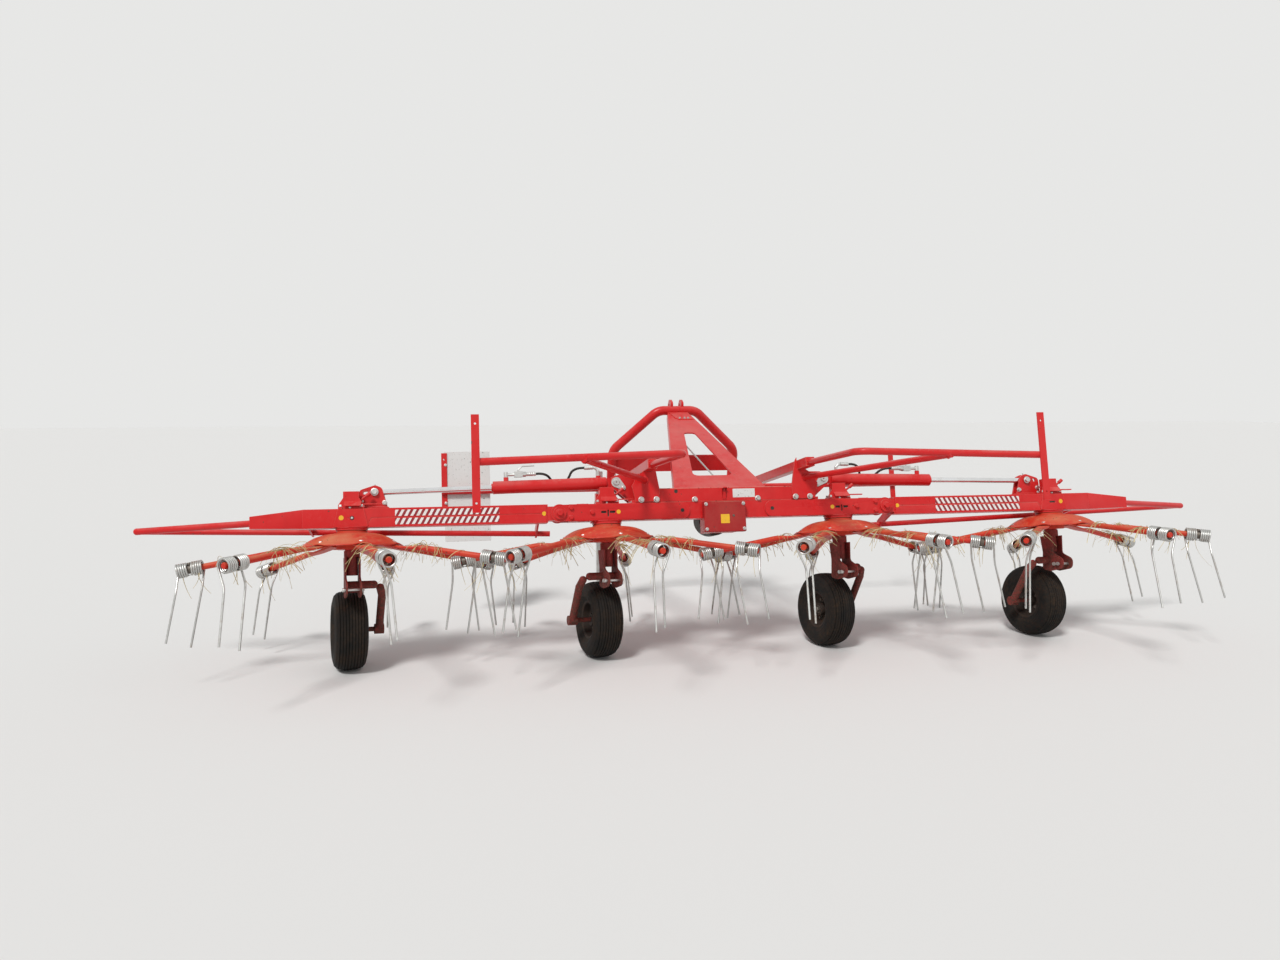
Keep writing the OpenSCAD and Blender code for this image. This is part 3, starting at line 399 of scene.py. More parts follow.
class Finish:
    """A material whose Principled shader is fed by a few noise patterns."""

    def __init__(self, name, base, roughness, metallic=0.0, coat=0.0, specular=None):
        self.name = name
        self.material = bpy.data.materials.new(name)
        self.material.use_nodes = True
        self.tree = self.material.node_tree
        self.shader = self.tree.nodes["Principled BSDF"]
        self.put("Base Color", (*base, 1.0))
        self.put("Roughness", roughness)
        self.put("Metallic", metallic)
        if coat:
            self.put("Coat Weight", coat)
            self.put("Coat Roughness", COAT_ROUGHNESS)
        if specular is not None:
            self.put("Specular IOR Level", specular)
        self.place = self.tree.nodes.new("ShaderNodeTexCoord")
        self.colour = (*base, 1.0)
        self.height = None

    def put(self, socket, value):
        """Writes a constant on the shader's own socket."""
        self.shader.inputs[socket].default_value = value

    def link(self, value, socket):
        """Connects an output, or writes a constant."""
        if isinstance(value, bpy.types.NodeSocket):
            self.tree.links.new(value, socket)
        else:
            socket.default_value = value

    def noise(self, scale, detail, grain=0.55, stretch=None):
        """Cloudy noise between 0 and 1 at a number of grains for each metre, of some roughness of grain."""
        node = self.tree.nodes.new("ShaderNodeTexNoise")
        node.inputs["Scale"].default_value = scale
        node.inputs["Detail"].default_value = detail
        node.inputs["Roughness"].default_value = grain
        source = self.place.outputs["Object"]
        if stretch:
            mapping = self.tree.nodes.new("ShaderNodeMapping")
            mapping.inputs["Scale"].default_value = stretch
            self.tree.links.new(source, mapping.inputs["Vector"])
            source = mapping.outputs["Vector"]
        self.tree.links.new(source, node.inputs["Vector"])
        return node.outputs["Fac"]

    def between(self, value, low, high, out_low=0.0, out_high=1.0):
        """Maps the stretch from low to high onto out_low to out_high, held at both ends."""
        node = self.tree.nodes.new("ShaderNodeMapRange")
        node.clamp = True
        self.link(value, node.inputs["Value"])
        for socket, number in zip(("From Min", "From Max", "To Min", "To Max"), (low, high, out_low, out_high)):
            node.inputs[socket].default_value = number
        return node.outputs["Result"]

    def patches(self, scale, detail, low, high, out_low=0.0, out_high=1.0, grain=0.55, stretch=None):
        """Patches of noise: out_low where the noise is under low, out_high where it is over high."""
        return self.between(self.noise(scale, detail, grain, stretch), low, high, out_low, out_high)

    def math(self, operation, a, b=0.0):
        """One arithmetic step."""
        node = self.tree.nodes.new("ShaderNodeMath")
        node.operation = operation
        self.link(a, node.inputs[0])
        self.link(b, node.inputs[1])
        return node.outputs[0]

    def axis(self, output, name):
        """The X, Y or Z part of a vector output."""
        node = self.tree.nodes.new("ShaderNodeSeparateXYZ")
        self.tree.links.new(self.place.outputs[output], node.inputs[0])
        return node.outputs[name]

    def layer(self, mask, colour):
        """Lays a colour over what is there, where the mask is high."""
        node = self.tree.nodes.new("ShaderNodeMix")
        node.data_type = "RGBA"
        self.link(mask, node.inputs["Factor"])
        self.link(self.colour, node.inputs["A"])
        node.inputs["B"].default_value = (*colour, 1.0)
        self.colour = node.outputs["Result"]

    def raise_by(self, height, amount):
        """Adds a pattern to the bump height, in metres."""
        part = self.math("MULTIPLY", height, amount)
        self.height = part if self.height is None else self.math("ADD", self.height, part)

    def done(self, roughness, metallic=None):
        """Connects what was gathered to the shader and keeps the finish under its name."""
        self.link(self.colour, self.shader.inputs["Base Color"])
        self.link(roughness, self.shader.inputs["Roughness"])
        if metallic is not None:
            self.link(metallic, self.shader.inputs["Metallic"])
        bump = self.tree.nodes.new("ShaderNodeBump")
        bump.inputs["Strength"].default_value = 1.0
        bump.inputs["Distance"].default_value = 1.0
        self.link(self.height, bump.inputs["Height"])
        self.link(bump.outputs["Normal"], self.shader.inputs["Normal"])
        finishes[self.name] = self.material
        print("finish", self.name, "with", len(self.tree.nodes), "nodes")


def shade(colour, factor):
    """A colour made darker by a factor."""
    return tuple(factor * part for part in colour)

# %% [markdown]
# Paint: the red steel is glossy where it is clean. Sun has bleached it a little in soft clouds,
# dust and chaff lie on upward faces, and small chips go down to dark primer. On the red, the dust on
# upward faces is pale pink, which also paints the sky's sheen on the tops. The discs have the same
# recipe with more dust, because crop scours them; its orange cast also paints the sheen on their lit
# tops. A paler recipe with many chips is kept for the edges, where paint is thinnest; its paler red
# also paints a highlight along each edge.

# %% Painted steel
DUST = (0.46, 0.36, 0.24)
# Pink and orange dust tones: dust, and a painted sheen of the sky on upward faces.
PINK_DUST_AND_SHEEN = (0.62, 0.31, 0.27)
ORANGE_DUST_AND_SHEEN = (0.60, 0.25, 0.125)
CHIP = (0.10, 0.045, 0.03)


def weathered_paint(name, base, faded, fading, dust, chips, gloss=0.30, dust_tone=DUST):
    """Paint = base, clouds of a faded colour, dust where the face looks up, chips where a fine noise peaks.
    The pink and orange dust tones are also a painted sheen of the sky on the top faces.
    Dust stands up to 0.35 mm proud, and a chip goes 0.12 mm deep."""
    look = Finish(name, base, gloss, coat=0.06, specular=0.26)
    clouds = look.noise(2.3, 5.0)
    look.layer(look.between(clouds, 0.35, 0.75, 0.0, fading), faded)
    streaks = look.patches(14.0, 6.0, 0.52, 0.80, 0.0, 0.30, grain=0.6, stretch=(1.0, 1.0, 0.35))
    look.layer(streaks, shade(base, 0.55))
    up = look.between(look.axis("Normal", "Z"), 0.10, 1.0, 0.035, 1.0)
    specks = look.patches(38.0, 9.0, 0.50, 0.70, grain=0.72)
    film = look.patches(5.5, 7.0, 0.40, 0.72, grain=0.65)
    grime = look.math("MULTIPLY", look.math("MULTIPLY", up, dust), look.math("MAXIMUM", film, specks))
    # Dust on upward faces; in its pink and orange tones it also paints the sky's sheen there.
    look.layer(grime, dust_tone)
    chip_level = 0.735 - 0.06 * chips
    chipped = look.patches(62.0, 3.0, chip_level, chip_level + 0.01, grain=0.5)
    look.layer(chipped, CHIP)
    look.raise_by(look.noise(420.0, 2.0), 0.00004)
    look.raise_by(grime, 0.00035)
    look.raise_by(look.math("SUBTRACT", 1.0, chipped), 0.00012)
    clean = look.between(clouds, 0.3, 0.8, gloss - 0.06, gloss + 0.10)
    look.done(roughness=look.math("ADD", clean, look.math("MULTIPLY", grime, 0.55)))


weathered_paint("red_paint", (0.60, 0.010, 0.012), (0.62, 0.040, 0.036), fading=0.42, dust=0.42, chips=0.25,
                dust_tone=PINK_DUST_AND_SHEEN)
weathered_paint("disc_paint", (0.58, 0.022, 0.011), (0.60, 0.10, 0.042), fading=0.65, dust=0.80, chips=0.6,
                gloss=0.42, dust_tone=ORANGE_DUST_AND_SHEEN)
# The edge paint is paler: worn paint and a painted highlight along the edges.
weathered_paint("red_edges", (0.62, 0.065, 0.055), (0.62, 0.20, 0.16), fading=0.9, dust=0.62, chips=1.6,
                gloss=0.40, dust_tone=PINK_DUST_AND_SHEEN)
weathered_paint("cover_paint", (0.36, 0.012, 0.014), (0.42, 0.035, 0.030), fading=0.5, dust=0.55, chips=0.4,
                gloss=0.34)

# %% [markdown]
# The wheel legs stand in the shade of the discs and run in the dust behind the tines. Their red is
# painted darker, as painted shade, and a dark layer of soil and painted shade sits on them from the
# wheel upwards. Its mask is the height in Object coordinates plus cloudy noise.

# %% Legs under soil and painted shade
SOIL = (0.055, 0.030, 0.018)
DRY_SOIL = (0.20, 0.14, 0.085)


def shaded_muddy_paint(name, base, low, high):
    """Paint under soil and painted shade: the dark layer fades out between two heights above the floor, broken up
    by noise.
    """
    look = Finish(name, base, 0.45, coat=0.05)
    look.layer(look.patches(3.0, 5.0, 0.35, 0.75, 0.0, 0.4), shade(base, 0.6))
    wander = look.patches(9.0, 8.0, 0.25, 0.75, -0.20, 0.20, grain=0.7)
    ragged = look.math("ADD", look.axis("Object", "Z"), wander)
    soil = look.between(ragged, low, high, 0.95, 0.12)
    caked = look.math("MULTIPLY", soil, look.patches(85.0, 7.0, 0.30, 0.60, 0.35, 1.0, grain=0.7))
    # The dark soil layer is also painted shade of the discs: darker towards the bottom.
    look.layer(caked, SOIL)
    dry = look.patches(34.0, 8.0, 0.58, 0.74, 0.0, 0.55, grain=0.7)
    look.layer(look.math("MULTIPLY", dry, soil), DRY_SOIL)
    look.raise_by(caked, 0.0016)
    look.raise_by(look.noise(260.0, 5.0, 0.7), 0.00025)
    look.done(roughness=look.between(caked, 0.0, 0.8, 0.45, 0.95))


# The legs' red is darker than the red paint: painted shade of the discs.
shaded_muddy_paint("leg_paint", (0.36, 0.010, 0.012), low=0.40, high=0.86)

# %% [markdown]
# Bare and plated steel: the tines are galvanised and rubbed bright, with rusty brown in the
# coils; bolts and pins are dull zinc. The chromed rods are nearly mirrors. Their faint rings
# are noise that changes fast along the rod and hardly round it.

# %% Bare metal
def bare_steel(name, base, stain, amount, roughness):
    """Metal with cloudy tone, small stains and fine pitting. A stained place is rougher and less metallic."""
    look = Finish(name, base, roughness, metallic=1.0)
    look.layer(look.patches(30.0, 5.0, 0.35, 0.70, 0.0, 0.5), shade(base, 0.72))
    stained = look.patches(17.0, 8.0, 0.60 - 0.1 * amount, 0.74, 0.0, amount, grain=0.7)
    look.layer(stained, stain)
    look.raise_by(look.noise(600.0, 3.0), 0.00006)
    clean = look.patches(55.0, 4.0, 0.3, 0.7, roughness - 0.08, roughness + 0.12)
    rough = look.math("ADD", clean, look.math("MULTIPLY", stained, 0.4))
    look.done(roughness=rough, metallic=look.between(stained, 0.0, 1.0, 1.0, 0.1))


def polished_rod():
    """Hard chrome with faint rings round the rod and a thin film of dust."""
    look = Finish("rod_chrome", (0.82, 0.83, 0.84), 0.10, metallic=1.0)
    film = look.patches(12.0, 6.0, 0.45, 0.8, 0.0, 0.35)
    look.layer(film, (0.42, 0.36, 0.28))
    look.raise_by(look.noise(240.0, 2.0, 0.5, stretch=(1.0, 0.02, 0.02)), 0.000012)
    look.done(roughness=look.between(film, 0.0, 0.35, 0.09, 0.32))


bare_steel("tine_steel", (0.55, 0.55, 0.53), (0.22, 0.13, 0.07), amount=0.75, roughness=0.36)
bare_steel("zinc_steel", (0.62, 0.62, 0.60), (0.30, 0.25, 0.18), amount=0.45, roughness=0.42)
bare_steel("dark_steel", (0.17, 0.15, 0.13), (0.17, 0.09, 0.05), amount=0.8, roughness=0.55)
polished_rod()

# %% [markdown]
# Rubber and plastic: soil dries in the hollows of the tyres and rims and leaves patches, and
# hoses and guards only get dusty. Soil could be painted by hand. A mask of two noises, coarse
# times fine, serves all four, with a soil colour and amount.

# %% Rubber and plastic
MUD = (0.060, 0.037, 0.022)


def soiled_surface(name, base, mud, mud_amount, roughness):
    """Rubber, plastic or rim paint with dried soil in its hollows, heavier in some patches."""
    look = Finish(name, base, roughness, specular=0.22)
    soil = look.patches(8.0, 8.0, 0.40, 0.66, 0.0, mud_amount, grain=0.7)
    caked = look.math("MULTIPLY", soil, look.patches(70.0, 6.0, 0.42, 0.62, 0.25, 1.0, grain=0.65))
    look.layer(caked, mud)
    look.raise_by(look.noise(150.0, 6.0, 0.7), 0.0006)
    look.raise_by(caked, 0.0014)
    look.done(roughness=look.between(caked, 0.0, 0.6, roughness, 0.95))


soiled_surface("tyre_rubber", (0.0085, 0.0080, 0.0075), MUD, mud_amount=0.75, roughness=0.75)
soiled_surface("rim_paint", (0.028, 0.020, 0.017), MUD, mud_amount=0.9, roughness=0.6)
soiled_surface("hose_rubber", (0.022, 0.022, 0.023), (0.20, 0.16, 0.11), mud_amount=0.35, roughness=0.5)
soiled_surface("guard_plastic", (0.020, 0.020, 0.021), (0.25, 0.20, 0.13), mud_amount=0.5, roughness=0.45)

# %% [markdown]
# Three small finishes: the light panel is grey sheet with spots and long scratches, the caps
# and dots are sun-faded yellow, and the caught hay goes from pale straw to brown.

# %% Sheet, caps and hay
def scratched_sheet():
    """Light grey sheet with spots of dirt, long scratches and a yellowed film."""
    look = Finish("panel_paint", (0.70, 0.70, 0.68), 0.38, coat=0.2)
    look.layer(look.patches(3.0, 5.0, 0.35, 0.7, 0.0, 0.35), (0.56, 0.54, 0.48))
    look.layer(look.patches(60.0, 5.0, 0.64, 0.69, 0.0, 0.75, grain=0.6), (0.12, 0.10, 0.085))
    scratch = look.patches(26.0, 2.0, 0.66, 0.70, 0.0, 0.5, grain=0.4, stretch=(9.0, 9.0, 0.5))
    look.layer(scratch, (0.36, 0.34, 0.31))
    look.raise_by(look.noise(300.0, 2.0), 0.00003)
    look.done(roughness=look.patches(9.0, 4.0, 0.3, 0.7, 0.30, 0.55))


def yellow_cap():
    """Yellow plastic, sun-faded and specked with dust."""
    look = Finish("cap_plastic", (0.83, 0.47, 0.012), 0.35)
    look.layer(look.patches(40.0, 5.0, 0.35, 0.75, 0.0, 0.5), (0.72, 0.42, 0.06))
    look.layer(look.patches(120.0, 6.0, 0.60, 0.70, 0.0, 0.7, grain=0.7), (0.16, 0.11, 0.06))
    look.raise_by(look.noise(500.0, 2.0), 0.00003)
    look.done(roughness=look.patches(50.0, 4.0, 0.3, 0.7, 0.3, 0.5))


def straw():
    """Dry stalks, from pale straw to brown."""
    look = Finish("dry_hay", (0.64, 0.52, 0.25), 0.8)
    look.layer(look.patches(22.0, 4.0, 0.42, 0.70), (0.30, 0.22, 0.10))
    look.raise_by(look.noise(700.0, 2.0), 0.0001)
    look.done(roughness=look.patches(60.0, 3.0, 0.3, 0.7, 0.65, 0.9))


scratched_sheet()
yellow_cap()
straw()

# %% [markdown]
# Stripes: two rows of slanted white bars on dark red film are stuck on each wing. The bars
# could be pieces of their own; a pattern in the material is lighter and wears better. With f
# the fraction of (x + slant z) / pitch, the film is white where f is over 0.25 away from 0.5.

# %% Striped film
STRIPE_PITCH = 0.0295
STRIPE_SLANT = 0.55
WHITE_BAR = (0.80, 0.77, 0.74)


def striped_film(name, slant):
    """Slanted bars from the fraction of (x + slant z) / pitch, with worn edges."""
    look = Finish(name, (0.27, 0.012, 0.018), 0.33)
    along = look.math("ADD", look.axis("Object", "X"), look.math("MULTIPLY", look.axis("Object", "Z"), slant))
    share = look.math("FRACT", look.math("DIVIDE", along, STRIPE_PITCH))
    worn = look.math("ADD", share, look.patches(160.0, 4.0, 0.2, 0.8, -0.05, 0.05))
    bar = look.between(look.math("ABSOLUTE", look.math("SUBTRACT", worn, 0.5)), 0.235, 0.265)
    look.layer(bar, WHITE_BAR)
    grime = look.patches(18.0, 8.0, 0.55, 0.78, 0.0, 0.55, grain=0.7)
    look.layer(grime, (0.36, 0.25, 0.17))
    look.raise_by(bar, 0.00005)
    look.done(roughness=look.between(grime, 0.0, 0.5, 0.30, 0.6))


for side, sign in SIDES.items():
    striped_film(f"stripe_film_{side}", sign * STRIPE_SLANT)

# %% [markdown]
# ## Steel parts with softened edges
#
# Cut and folded steel never has a knife edge, and it is the thin bright line along each edge
# that tells the eye a part is metal. The imported meshes are loose triangles, so a copy is
# merged, flat areas are made into single faces, and a Bevel modifier rounds what is sharp. The
# modifier can give the faces it makes a material of their own, a paler red, so the edges look worn
# and carry a painted highlight.

# %% Dressed copies of the imported nodes
BEVEL = {
    "gearbox": 0.008, "gearbox_cover": 0.006, "centre_beam": 0.005, "wing_beam": 0.005, "upper_channel": 0.004,
    "rail": 0.005, "tower": 0.003, "hitch_bow": 0.002, "leg": 0.002, "shaft_guard": 0.002, "rim": 0.002,
    "warning_panel": 0.0008, "piston_rod": 0.001, "barrel": 0.0015, "valve": 0.0006,
    "cylinder_bracket": 0.0015, "turn_lock": 0.0012,
}
BEVEL_SMALL = 0.0018
MERGE = 2e-5
SHARP = math.radians(38)
PLANAR = math.radians(0.6)
REMADE = ("tines", "rotor_disc", "tyre", "hose", "input_shaft")


def dressed(node):
    """A merged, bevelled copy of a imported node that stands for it."""
    kind = node.rstrip("_1234").replace("_left", "").replace("_right", "")
    # Legs take the darker red, which is painted shade of the discs.
    finish = "leg_paint" if kind == "leg" else slot_of[node]
    mesh = nodes[node].data.copy()
    mesh.materials.clear()
    # The bevel faces of red parts take the paler edge paint: wear and a painted highlight.
    for name in (finish, "red_edges" if finish == "red_paint" else finish):
        mesh.materials.append(finishes[name])
    work = bmesh.new()
    work.from_mesh(mesh)
    bmesh.ops.remove_doubles(work, verts=work.verts, dist=MERGE)
    bmesh.ops.dissolve_limit(work, angle_limit=PLANAR, verts=work.verts, edges=work.edges)
    work.to_mesh(mesh)
    work.free()
    mesh.shade_smooth()
    mesh.set_sharp_from_angle(angle=SHARP)
    item = bpy.data.objects.new(node + "_steel", mesh)
    scene.collection.objects.link(item)
    bevel = item.modifiers.new("edges", "BEVEL")
    bevel.width = BEVEL.get(kind, BEVEL_SMALL)
    bevel.material = 1
    bevel.segments = 2
    bevel.limit_method = "ANGLE"
    bevel.angle_limit = SHARP
    bevel.harden_normals = True
    bevel.use_clamp_overlap = True
    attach(item, body_of[node])
    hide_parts(node)


dressed_nodes = [node for node in nodes if not node.startswith(REMADE)]
for node in dressed_nodes:
    dressed(node)
print("dressed", len(dressed_nodes), "packed nodes")

# %% [markdown]
# ## Small hardware
#
# Bolt heads, rings and pins are turned once and stamped many times. Linked copies would be
# lighter, but a stamped group is one mesh that rides on one body. A hexagon is simply a
# turned part with six steps.

# %% Bolt heads and rings
def hex_bolt(across_flats, head):
    """A six-sided head with a chamfered top on a round washer, standing on z = 0."""
    corner = across_flats / math.sqrt(3)
    lift = 0.18 * head
    return joined([
        turned([(lift, corner), (lift + 0.8 * head, corner), (lift + head, 0.86 * corner)], 6),
        turned([(0, 1.25 * corner), (0.75 * lift, 1.25 * corner), (lift, 1.15 * corner)], 20),
    ])


def collar(height, inner, outer, edge=0.002):
    """A ring with softened rims, about the z axis."""
    half = height / 2
    return turned([
        (-half, inner), (-half, outer - edge), (-half + edge, outer), (half - edge, outer),
        (half, outer - edge), (half, inner),
    ], 28, ring=True)


def lying(shape):
    """Turns a shape from the z axis to the x axis."""
    return stamped(shape, (0, 0, 0), np.roll(np.eye(3), 1, axis=1))


def bolts(name, places, direction, body, size, head, finish="zinc_steel"):
    """Heads of a width across flats and a height at (u, v, w) places, all facing one way."""
    piece(name, stood_on(hex_bolt(size, head), places, direction), finish, body)


print("corners in a bolt head with its washer:", len(hex_bolt(0.020, 0.012)[0]))

# %% [markdown]
# ## Spring tines
#
# Each tine is one length of wire: up one leg, nearly five turns of coil round the arm, across
# to a second coil wound the other way, and down the second leg. The leg leaves its coil along
# a tangent, which a hand-drawn curve never quite hits. So the path starts from the kink under
# the arm and finds the tangent point on the coil: from a point K outside it, a circle of
# radius R is touched at R/D^2 (R K + sqrt(D^2 - R^2) K'), with D the distance of K and K' the
# point K turned a quarter.

# %% Wire path of a double tine
DISC_R = 0.250
ARM_SLOPE = math.radians(10.0)
ARM_COUNT = 7
ARM_PHASE = {1: 29.5, 2: -29.5, 3: 29.5, 4: -29.5}
HAND = {1: 1, 2: -1, 3: 1, 4: -1}
ARM_R = 0.015
ARM_REACH = 0.808
BLADE_T = 0.012
COIL_AT = 0.750
WIRE_R = 0.005
COIL_R = 0.031
COIL_OUTER = 0.059
COIL_TURNS = 4.75
KINK_DROP = 0.095
KINK_SIDE = 0.008
TIP_SIDE = 0.014
LEG_LEAN = math.radians(19.0)
LEG_DROP = {"outer": 0.340, "inner": 0.385}
KINK_BEND = 0.022
COIL_STEPS = 22
COIL_PITCH = 2.02 * WIRE_R
FILLET_STEPS = 6


def filleted(points, radius):
    """A line of points with each inner corner replaced by a curve: the weighted mean of the two tangent
    points and the corner, with weights (1-t)^2, t^2 and 2t(1-t)."""
    t = np.linspace(0, 1, FILLET_STEPS)[:, None]
    pieces = [points[:1]]
    for before, corner, after in zip(points[:-2], points[1:-1], points[2:]):
        start, end = corner + unit(before - corner) * radius, corner + unit(after - corner) * radius
        pieces.append((1 - t) ** 2 * start + 2 * t * (1 - t) * corner + t ** 2 * end)
    return np.vstack((*pieces, points[-1:]))


def half_tine(hand, end):
    """Half of a double tine from its tip to the middle, in arm axes: along, sideways, across."""
    mirror = 1 if end == "outer" else -1
    drop = LEG_DROP[end] - KINK_DROP
    kink = np.array((mirror * COIL_OUTER + KINK_DROP * math.tan(ARM_SLOPE), hand * KINK_SIDE, -KINK_DROP))
    tip = kink + (drop * math.sin(LEG_LEAN), hand * TIP_SIDE, -drop * math.cos(LEG_LEAN))
    flat = kink[1:]
    reach2 = flat @ flat
    quarter = np.array((-flat[1], flat[0])) * -hand
    touch = COIL_R / reach2 * (COIL_R * flat + math.sqrt(reach2 - COIL_R ** 2) * quarter)
    turn = np.linspace(0, 1, int(COIL_TURNS * COIL_STEPS))
    angle = math.atan2(touch[1], touch[0]) - hand * turn * COIL_TURNS * FULL
    along = mirror * (COIL_OUTER - COIL_PITCH * COIL_TURNS * turn)
    coil = np.stack((along, COIL_R * np.cos(angle), COIL_R * np.sin(angle)), -1)
    leg = filleted((tip, kink, coil[0]), KINK_BEND)[:-1]
    return np.vstack((leg, coil))


def tine_path(hand):
    """Both halves joined through a straight run across the gap."""
    return np.vstack((half_tine(hand, "outer"), half_tine(hand, "inner")[::-1]))


runs = np.linalg.norm(np.diff(tine_path(1), axis=0), axis=1)
print("wire in one double tine:", round(float(runs.sum()), 2), "m")

# %% [markdown]
# Seven arms stand evenly round each rotor, sloping down from the disc's rim. Each arm has axes
# of its own, so a tine is worked out once and stamped on all arms. A saddle clamps it between
# its two coils: a ring round the arm with one bolt on top.

# %% Tines and saddles on the arms
COIL_ALONG = (COIL_AT - DISC_R) / math.cos(ARM_SLOPE)
SADDLE_OUTER = 0.0215


def arm_frames(i):
    """Origin at the rim and three axes (along, sideways, across) of each arm of rotor i."""
    angle = np.radians(ARM_PHASE[i]) + angles_round(ARM_COUNT)
    slope, rise = math.cos(ARM_SLOPE), math.sin(ARM_SLOPE)
    along, across = polar(slope, angle, -rise), polar(rise, angle, slope)
    side = polar(1.0, angle + FULL / 4, 0.0)
    return placed(polar(DISC_R, angle, -BLADE_T / 2), rotor_at[i]), np.stack((along, side, across), 1) @ AXES


saddle = joined([
    lying(collar(0.022, ARM_R + 0.0004, SADDLE_OUTER)),
    stamped(hex_bolt(0.017, 0.010), (0, 0, SADDLE_OUTER - 0.0005)),
])
for i in ROTORS:
    origins, axes = arm_frames(i)
    at_coil = origins + COIL_ALONG * axes[:, 0]
    tines = stamped(tube(tine_path(HAND[i]), WIRE_R, 9), at_coil, axes)
    piece(f"tine_wires_{i}", tines, "tine_steel", f"rotor_{i}", replaces=(f"tines_{i}",))
    piece(f"tine_saddles_{i}", stamped(saddle, at_coil, axes), "dark_steel", f"rotor_{i}")

# %% [markdown]
# ## Domed discs and arms
#
# The disc is a pressed dome with a flat edge. Its height falls as one minus a power of the way
# from the hub to that edge. Seven shallow channels are pressed into it, raised over the arms
# and sunk between them: a bell curve of the angle from the nearest arm, growing towards the
# rim. It could be sculpted, but a turned grid with a formula keeps hub and lip exactly round.

# %% Disc surface
DOME_H = 0.060
DOME_OUT = 0.239
DOME_POWER = 2.3
DOME_T = 0.006
COLLAR_R = 0.076
HUB_TOP = 0.072
HUB_FOOT = -0.020
HUB_BORE = 0.0353
LIP = 0.0015
CHANNEL_H = 0.007
CHANNEL_SPREAD = math.radians(8.0)
CHANNEL_FROM, CHANNEL_TO = 0.110, 0.230
DISC_STEPS = 168


def smooth_step(t):
    """3t^2 - 2t^3, from 0 to 1 with level ends."""
    t = np.clip(t, 0, 1)
    return t * t * (3 - 2 * t)


def disc_profile():
    """Radius and height of the closed section: hub, dome, lip, underside and hub again."""
    out = np.linspace(0, 1, 16)
    top = np.stack((COLLAR_R + (DOME_OUT - COLLAR_R) * out, DOME_H * (1 - out ** DOME_POWER)), -1)
    return np.vstack((
        ((HUB_BORE, HUB_TOP), (0.073, HUB_TOP), (0.0755, HUB_TOP - 0.002), (0.0758, DOME_H + 0.001)), top,
        ((DISC_R - 0.001, 0.0), (DISC_R, -LIP), (DISC_R, -DOME_T + LIP), (DISC_R - 0.001, -DOME_T)),
        top[::-1] - (0, DOME_T),
        ((COLLAR_R, HUB_FOOT + 0.002), (COLLAR_R - 0.002, HUB_FOOT), (HUB_BORE, HUB_FOOT)),
    ))


def disc_shape(i):
    """The section turned about the rotor's axis. Its height gains channel * way * (exp(-(a / spread)^2) - 1/2),
    with a the angle from the nearest arm and way a smooth step along the radius."""
    radius, height = disc_profile().T[:, :, None]
    angle = angles_round(DISC_STEPS)
    half_gap = FULL / ARM_COUNT / 2
    nearest = (angle - math.radians(ARM_PHASE[i]) + half_gap) % (2 * half_gap) - half_gap
    way = smooth_step((radius - CHANNEL_FROM) / (CHANNEL_TO - CHANNEL_FROM))
    rise = CHANNEL_H * way * (np.exp(-(nearest / CHANNEL_SPREAD) ** 2) - 0.5)
    return stamped(outward(grid_shape(polar(radius, angle, height + rise), ring=True)), rotor_at[i], AXES)


print("points in the disc's section:", len(disc_profile()))

# %% [markdown]
# Each arm is a tube whose root is hammered flat. Two pieces would show a seam, so it is one
# grid: half-width and half-height change smoothly from blade to tube, and the cross-section is
# a superellipse, cosine and sine raised to a power from 0.45, nearly a flat bar, to 1, a circle.

# %% Arm surface
BLADE_HALF = 0.031
BLADE_END = 0.14
BLADE_POWER = 0.45
BLADE_SINK = 0.010
ROOT_IN = 0.115
ARM_ROUNDING = 0.003


def arm_shape():
    """Flat root, tapering to a round tube with a closed end, in arm axes."""
    length = (ARM_REACH - DISC_R) / math.cos(ARM_SLOPE)
    flat, round_part = np.linspace(-ROOT_IN, BLADE_END, 16), np.linspace(BLADE_END + 0.02, length - 0.004, 6)
    along = np.concatenate((flat, round_part, (length,)))[:, None]
    blend = smooth_step((along - 0.02) / (BLADE_END - 0.02))
    half_width = BLADE_HALF * (1 - blend) + ARM_R * blend
    half_height = BLADE_T / 2 * (1 - blend) + ARM_R * blend
    half_width[-1] -= ARM_ROUNDING
    half_height[-1] -= ARM_ROUNDING
    power = BLADE_POWER * (1 - blend) + blend
    cos, sin = np.cos(angles_round(20)), np.sin(angles_round(20))
    across = half_width * np.sign(cos) * np.abs(cos) ** power
    upward = half_height * np.sign(sin) * np.abs(sin) ** power - BLADE_SINK * (1 - blend)
    return outward(grid_shape(np.stack(np.broadcast_arrays(along, across, upward), -1)))


arm = arm_shape()
for i in ROTORS:
    whole = joined([disc_shape(i), stamped(arm, *arm_frames(i))])
    piece(f"dome_{i}", whole, "disc_paint", f"rotor_{i}", replaces=(f"rotor_disc_{i}",))

# %% [markdown]
# ## Tyres
#
# The tyre is a section turned about the axle. The tread has nine round grooves, and fine ribs
# between them: the radius is the section's radius less two waves. Bump alone would leave the
# outline smooth, where real grooves notch it. The sidewalls carry plain raised rings.

# %% Ribbed tyres
TYRE_R = 0.2025
RIM_R = 0.102
TREAD_HALF = 0.072
GROOVE_PITCH, GROOVE_DEPTH = 0.0145, 0.0055
RIB_PITCH, RIB_DEPTH = 0.0036, 0.0007
RING_PITCH, RING_HEIGHT = 0.013, 0.0012
SIDEWALL_FROM = 5.2
SIDEWALL_SINK = 0.0014
TREAD_FADE = 0.004
BEAD_HALF, BEAD_GAP = 0.066, 0.0002
SECTION_HALF = np.array((0.0, 22, 44, 62, 75, 82.5, 81.5, 79)) / 1000
SECTION_DROP = np.array((0.0, 0.4, 3, 10, 24, 52, 66, 78)) / 1000


